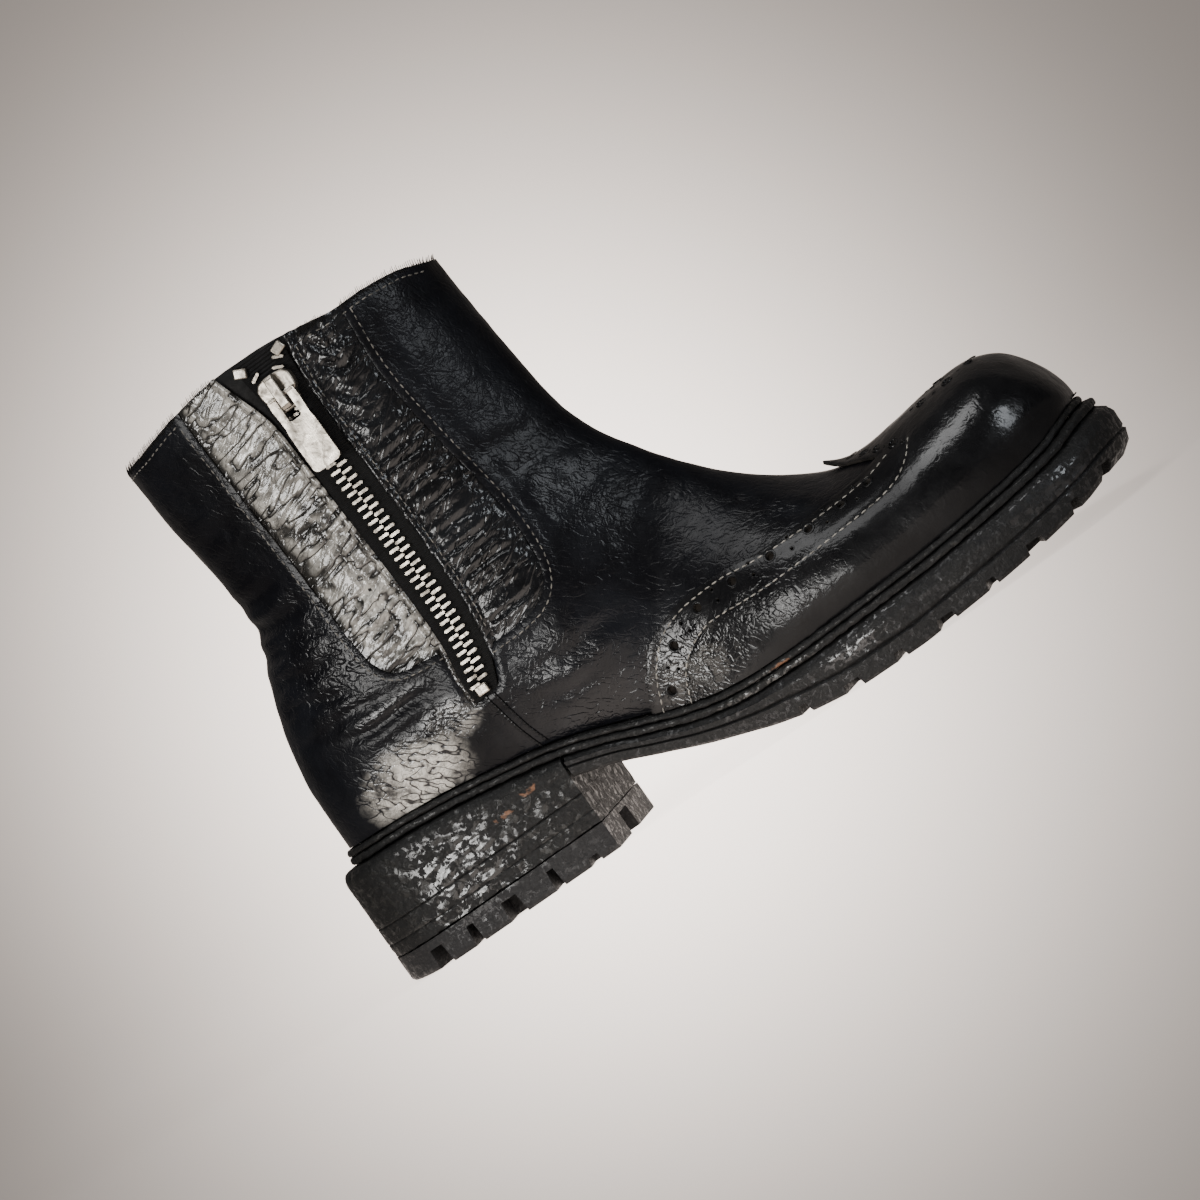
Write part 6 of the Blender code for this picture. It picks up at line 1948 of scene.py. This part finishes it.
def paper_sweep(colours):
    """Matte paper with painted light: it glows, brightest behind the boot, and its colour is
    painted darker all round as painted shade.
    """
    mat, tree, shader = new_material("Warm grey paper sweep", Roughness=0.95,
                                     Specular_IOR_Level=0.1)
    shade = (*colours.backdrop, 1.0)
    shader.inputs["Emission Color"].default_value = shade
    place = add(tree, "ShaderNodeTexCoord", "Object")
    seen = add(tree, VECTOR, 0, (place, CAMERA["at"]), operation="SUBTRACT")
    x, depth, z = add(tree, "ShaderNodeSeparateXYZ", None, (seen,)).outputs
    spread = []
    for part, middle in ((x, GLOW["across"]), (z, GLOW["up"])):
        share = add(tree, MATH, 0, (part, depth), operation="DIVIDE")
        spread.append(add(tree, MATH, 0, (share, middle), operation="ADD"))
    far = add(tree, "ShaderNodeCombineXYZ", 0, spread)
    far = add(tree, VECTOR, "Value", (far,), operation="LENGTH")
    fall = add(tree, RANGE, 0, (far, GLOW["near"], GLOW["far"], 0.0, 1.0),
               interpolation_type="SMOOTHSTEP")
    # painted_vignette: the painted shade toward the sweep's edges, 0.16 of the paper's colour.
    painted_vignette = tuple(0.16 * c for c in colours.backdrop) + (1.0,)
    tone = add(tree, MIX, 2, {0: fall, 6: shade, 7: painted_vignette}, data_type="RGBA")
    paper = add(tree, MIX, 2, {0: 0.45, 6: tone, 7: (0.0, 0.0, 0.0, 1.0)}, data_type="RGBA")
    tree.links.new(paper, shader.inputs["Base Color"])
    # The paper glows, as painted light: emission strongest behind the boot, fading to a small
    # share all round.
    left = add(tree, MATH, 0, (GLOW["left"], fall), operation="POWER")
    glow = add(tree, MATH, 0, (left, GLOW["strength"]), operation="MULTIPLY")
    tree.links.new(glow, shader.inputs["Emission Strength"])
    return mat


def make_stage(colours):
    """Sheet that lies flat under the boot and bends up behind it."""
    bend, radius = SWEEP["bend"], SWEEP["radius"]
    profile = [(SWEEP["front"], 0.0)]
    for k in range(17):
        a = 0.5 * math.pi * k / 16
        profile.append((bend + radius * math.sin(a), radius - radius * math.cos(a)))
    profile.append((bend + radius, SWEEP["top"]))
    bm = bmesh.new()
    rows = [[bm.verts.new((x, y, z)) for x in (-SWEEP["half"], SWEEP["half"])]
            for y, z in profile]
    for low, high in pairwise(rows):
        bm.faces.new((low[0], low[1], high[1], high[0]))
    bmesh.ops.recalc_face_normals(bm, faces=bm.faces)
    finish_piece("sweep", bm, (paper_sweep(colours),), smooth=60.0)


def make_lights():
    """Soft light from the left, the front, the right and above, in a dim room."""
    studio = bpy.data.worlds.new("Studio")
    studio.use_nodes = True
    back = studio.node_tree.nodes["Background"]
    back.inputs["Color"].default_value = (1.0, 0.985, 0.97, 1.0)
    back.inputs["Strength"].default_value = 0.05
    bpy.context.scene.world = studio
    for row in LIGHTS:
        data = bpy.data.lights.new(row["name"], "AREA")
        data.shape = "RECTANGLE"
        data.size, data.size_y = row["size"]
        data.energy = row["power"]
        data.color = row["colour"]
        obj = bpy.data.objects.new(row["name"], data)
        obj.location = row["at"]
        way = Vector(row["target"]) - Vector(row["at"])
        obj.rotation_euler = way.to_track_quat("-Z", "Y").to_euler()
        bpy.context.scene.collection.objects.link(obj)


def make_camera():
    """View of the inner side, rolled so that the boot points up to the right."""
    data = bpy.data.cameras.new("view")
    data.lens = CAMERA["lens"]
    data.sensor_width = 36.0
    data.clip_start = 0.05
    data.clip_end = 20.0
    obj = bpy.data.objects.new("view", data)
    at, look = Vector(CAMERA["at"]), Vector(CAMERA["look"])
    aim = (look - at).to_track_quat("-Z", "Y").to_matrix().to_4x4()
    roll = Matrix.Rotation(math.radians(-CAMERA["roll"]), 4, "Z")
    obj.matrix_world = Matrix.Translation(at) @ aim @ roll
    bpy.context.scene.collection.objects.link(obj)
    bpy.context.scene.camera = obj


# ----------------------------------------------------- settings and operators
class BootSizes(bpy.types.PropertyGroup):
    stitch_pitch: FloatProperty(name="Stitch pitch", default=3.0, min=1.5, max=6.0,
                                description="Spacing of the wing cap's stitches, millimetres")
    fold_depth: FloatProperty(name="Fold depth", default=1.0, min=0.0, max=2.0,
                              description="Strength of the worn folds", subtype="FACTOR")
    # Panel shade: the margin kept free of the grey and painted highlight, so that it shows dark
    # as painted shade.
    panel_shade: FloatProperty(name="Panel shade", default=2.6, min=0.5, max=8.0,
                               description="Width of the unhighlighted margin along a panel's "
                                           "edge, millimetres")


class BootColours(bpy.types.PropertyGroup):
    backdrop: FloatVectorProperty(name="Backdrop", size=3, subtype="COLOR", min=0.0, max=1.0,
                                  default=linear("e1d5cc")[:3],
                                  description="Colour of the paper sweep behind the boot")


made_materials = {}


def finish(name):
    """Finish by name, made once and shared by the pieces."""
    if name not in made_materials:
        kind, *values = FINISHES[name]
        made_materials[name] = kind(*values)
    return made_materials[name]


FINISHES = {
    # Smooth leather, near black, that shows its folds as soft bluish sheens.
    "upper": (calf_leather, "Waxed black calf", "070709", "0d0e11", 0.34, 1.0, 3.0, 0.06, 2.2,
              (38.0, -48.0)),
    # The same calf with more polish, so that the toe gives long clear highlights.
    "wing": (calf_leather, "Waxed black calf overlay", "070708", "0f0f10", 0.31, 0.8, 3.0, 0.12,
             2.0, (52.0, -30.0)),
    # A brittle glossy coat, crackled into plates lightened to grey, partly by the leather's own
    # grey and partly by a painted highlight.
    "rear insert": (calf_leather, "Crackled patent calf", "0c0b0a", "1c1b19", 0.30, 1.3, 4.6,
                    0.42, 4.2, (-12.0, -36.0)),
    # Thin leather pressed into small sharp creases that glint.
    "front insert": (calf_leather, "Crumpled black calf", "080809", "0f1012", 0.34, 1.3, 5.0,
                     0.16, 4.4, (-38.0, -20.0)),
    # Cut edges: dull, fibrous, a little browner than the grain side.
    "edge": (worn_fibre, "Raw leather edge", "171615", "2b2825", 0.6, 0.6, 0.08),
    # Matte and deep black: the lining's own black, deepened as painted shade so that the boot
    # looks hollow.
    "lining": (worn_fibre, "Black lining leather", "050505", "0d0c0b", 1.4, 0.75, 0.05),
    # Ribbed rows of yarn that swallow the light between the bright teeth.
    "tape": (worn_fibre, "Black woven zip tape", "030303", "080808", 0.5, 0.85, 0.05, 1.2),
    "nickel": (aged_nickel,),
    # Pale grey linen under wax: small soft dashes.
    "grey thread": (worn_fibre, "Waxed linen thread", "75726c", "3a3835", 0.5, 0.7, 0.05),
    # Black thread, coloured mid grey with darker patches.
    "black thread": (worn_fibre, "Rubbed black thread", "5c5954", "1d1c1a", 0.5, 0.65, 0.05),
    # The bare leather under the punched holes: brown black, without shine.
    "dust": (worn_fibre, "Dark leather in the holes", "15110d", "080605", 1.2, 0.85, 0.1),
    # Moulded rubber with a film of wax: small hard glints along the worn edge.
    "sole": (waxed_edge, "Blacked rubber sole", "090909", "0f0f10", 2.4, 0.10, 0.05),
    # The same rubber walked dull, with drawn scratches.
    "lift": (waxed_edge, "Charcoal rubber lift", "0e0e0f", "131314", 2.0, 0.06, 0.10),
    # Stacked leather whose wax has flaked off in angular chips.
    "heel": (waxed_edge, "Flaked waxed heel", "050505", "111110", 3.0, 0.14),
    # Trimmed welt and midsole edges, waxed round and smooth.
    "waxed edge": (waxed_edge, "Waxed leather edge", "060606", "0f0f0e", 2.0, 0.14),
    # Brown leather, darkened and dulled by wear.
    "insole": (worn_fibre, "Worn insole leather", "2f2923", "15120f", 2.0, 0.65, 0.08),
}


def dress(node, mat):
    """Give a kept solid a finish of its own."""
    obj = frame["nodes"][node]
    for slot in obj.material_slots:
        slot.material = mat


class BOOT_OT_upper(bpy.types.Operator):
    """Build the outer leather of the upper and its lining"""
    bl_idname = "boot.upper"
    bl_label = "Upper"

    def execute(self, context):
        sizes = context.scene.boot_sizes
        make_upper(sizes, finish("upper"), finish("edge"))
        make_lining(finish("lining"))
        return {"FINISHED"}


class BOOT_OT_panels(bpy.types.Operator):
    """Build the leather panels beside the zip and on the outer side"""
    bl_idname = "boot.panels"
    bl_label = "Panels"

    def execute(self, context):
        sizes = context.scene.boot_sizes
        edge = finish("edge")
        make_panel("insert_rear", INNER, False, sizes, finish("rear insert"), edge)
        make_panel("insert_front", INNER, True, sizes, finish("front insert"), edge)
        make_panel("insert_outer", OUTER, True, sizes, finish("front insert"), edge)
        return {"FINISHED"}


class BOOT_OT_wing(bpy.types.Operator):
    """Build the wing cap with its punched holes"""
    bl_idname = "boot.wing"
    bl_label = "Wing cap"

    def execute(self, context):
        make_wing(finish("wing"), finish("edge"), finish("dust"))
        return {"FINISHED"}


class BOOT_OT_zip(bpy.types.Operator):
    """Build the zip: tape, teeth, stops, slider and pull"""
    bl_idname = "boot.zip"
    bl_label = "Zip"

    def execute(self, context):
        make_tape(finish("tape"))
        nickel = finish("nickel")
        make_teeth(nickel)
        make_stops(nickel)
        make_slider(nickel)
        make_pull(nickel)
        return {"FINISHED"}


class BOOT_OT_stitches(bpy.types.Operator):
    """Sew the stitch rows and fray the collar's raw edge"""
    bl_idname = "boot.stitches"
    bl_label = "Stitches"

    def execute(self, context):
        make_stitches(context.scene.boot_sizes, finish("grey thread"), finish("black thread"),
                      finish("wing"))
        make_fray(finish("lining"))
        return {"FINISHED"}


class BOOT_OT_sole(bpy.types.Operator):
    """Finish the sole, heel, welt and insole"""
    bl_idname = "boot.sole"
    bl_label = "Sole"

    def execute(self, context):
        make_welt(finish("waxed edge"))
        make_midsole(finish("waxed edge"))
        make_outsole(finish("sole"))
        make_heel(finish("heel"))
        make_top_lift(finish("lift"))
        dress("insole", finish("insole"))
        return {"FINISHED"}


class BOOT_OT_stage(bpy.types.Operator):
    """Set the sweep, the lights and the camera"""
    bl_idname = "boot.stage"
    bl_label = "Stage"

    def execute(self, context):
        make_stage(context.scene.boot_colours)
        make_lights()
        make_camera()
        return {"FINISHED"}


OPERATORS = (BOOT_OT_upper, BOOT_OT_panels, BOOT_OT_wing, BOOT_OT_zip, BOOT_OT_stitches,
             BOOT_OT_sole, BOOT_OT_stage)


class BOOT_PT_panel(bpy.types.Panel):
    """Sizes, colours and steps of the boot"""
    bl_idname = "BOOT_PT_panel"
    bl_label = "Brogue ankle boot"
    bl_space_type = "VIEW_3D"
    bl_region_type = "UI"
    bl_category = "Boot"

    def draw(self, context):
        for group in (context.scene.boot_sizes, context.scene.boot_colours):
            for name in group.bl_rna.properties.keys():
                if name not in ("rna_type", "name"):
                    self.layout.prop(group, name)
        for operator in OPERATORS:
            self.layout.operator(operator.bl_idname)


CLASSES = (BootSizes, BootColours) + OPERATORS + (BOOT_PT_panel,)


def register():
    for cls in CLASSES:
        bpy.utils.register_class(cls)
    bpy.types.Scene.boot_sizes = PointerProperty(type=BootSizes)
    bpy.types.Scene.boot_colours = PointerProperty(type=BootColours)


def unregister():
    del bpy.types.Scene.boot_colours
    del bpy.types.Scene.boot_sizes
    for cls in reversed(CLASSES):
        bpy.utils.unregister_class(cls)


def main():
    register()
    bpy.ops.boot.upper()
    bpy.ops.boot.panels()
    bpy.ops.boot.wing()
    bpy.ops.boot.zip()
    bpy.ops.boot.stitches()
    bpy.ops.boot.sole()
    bpy.ops.boot.stage()
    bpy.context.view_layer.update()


if __name__ == "__main__":
    main()
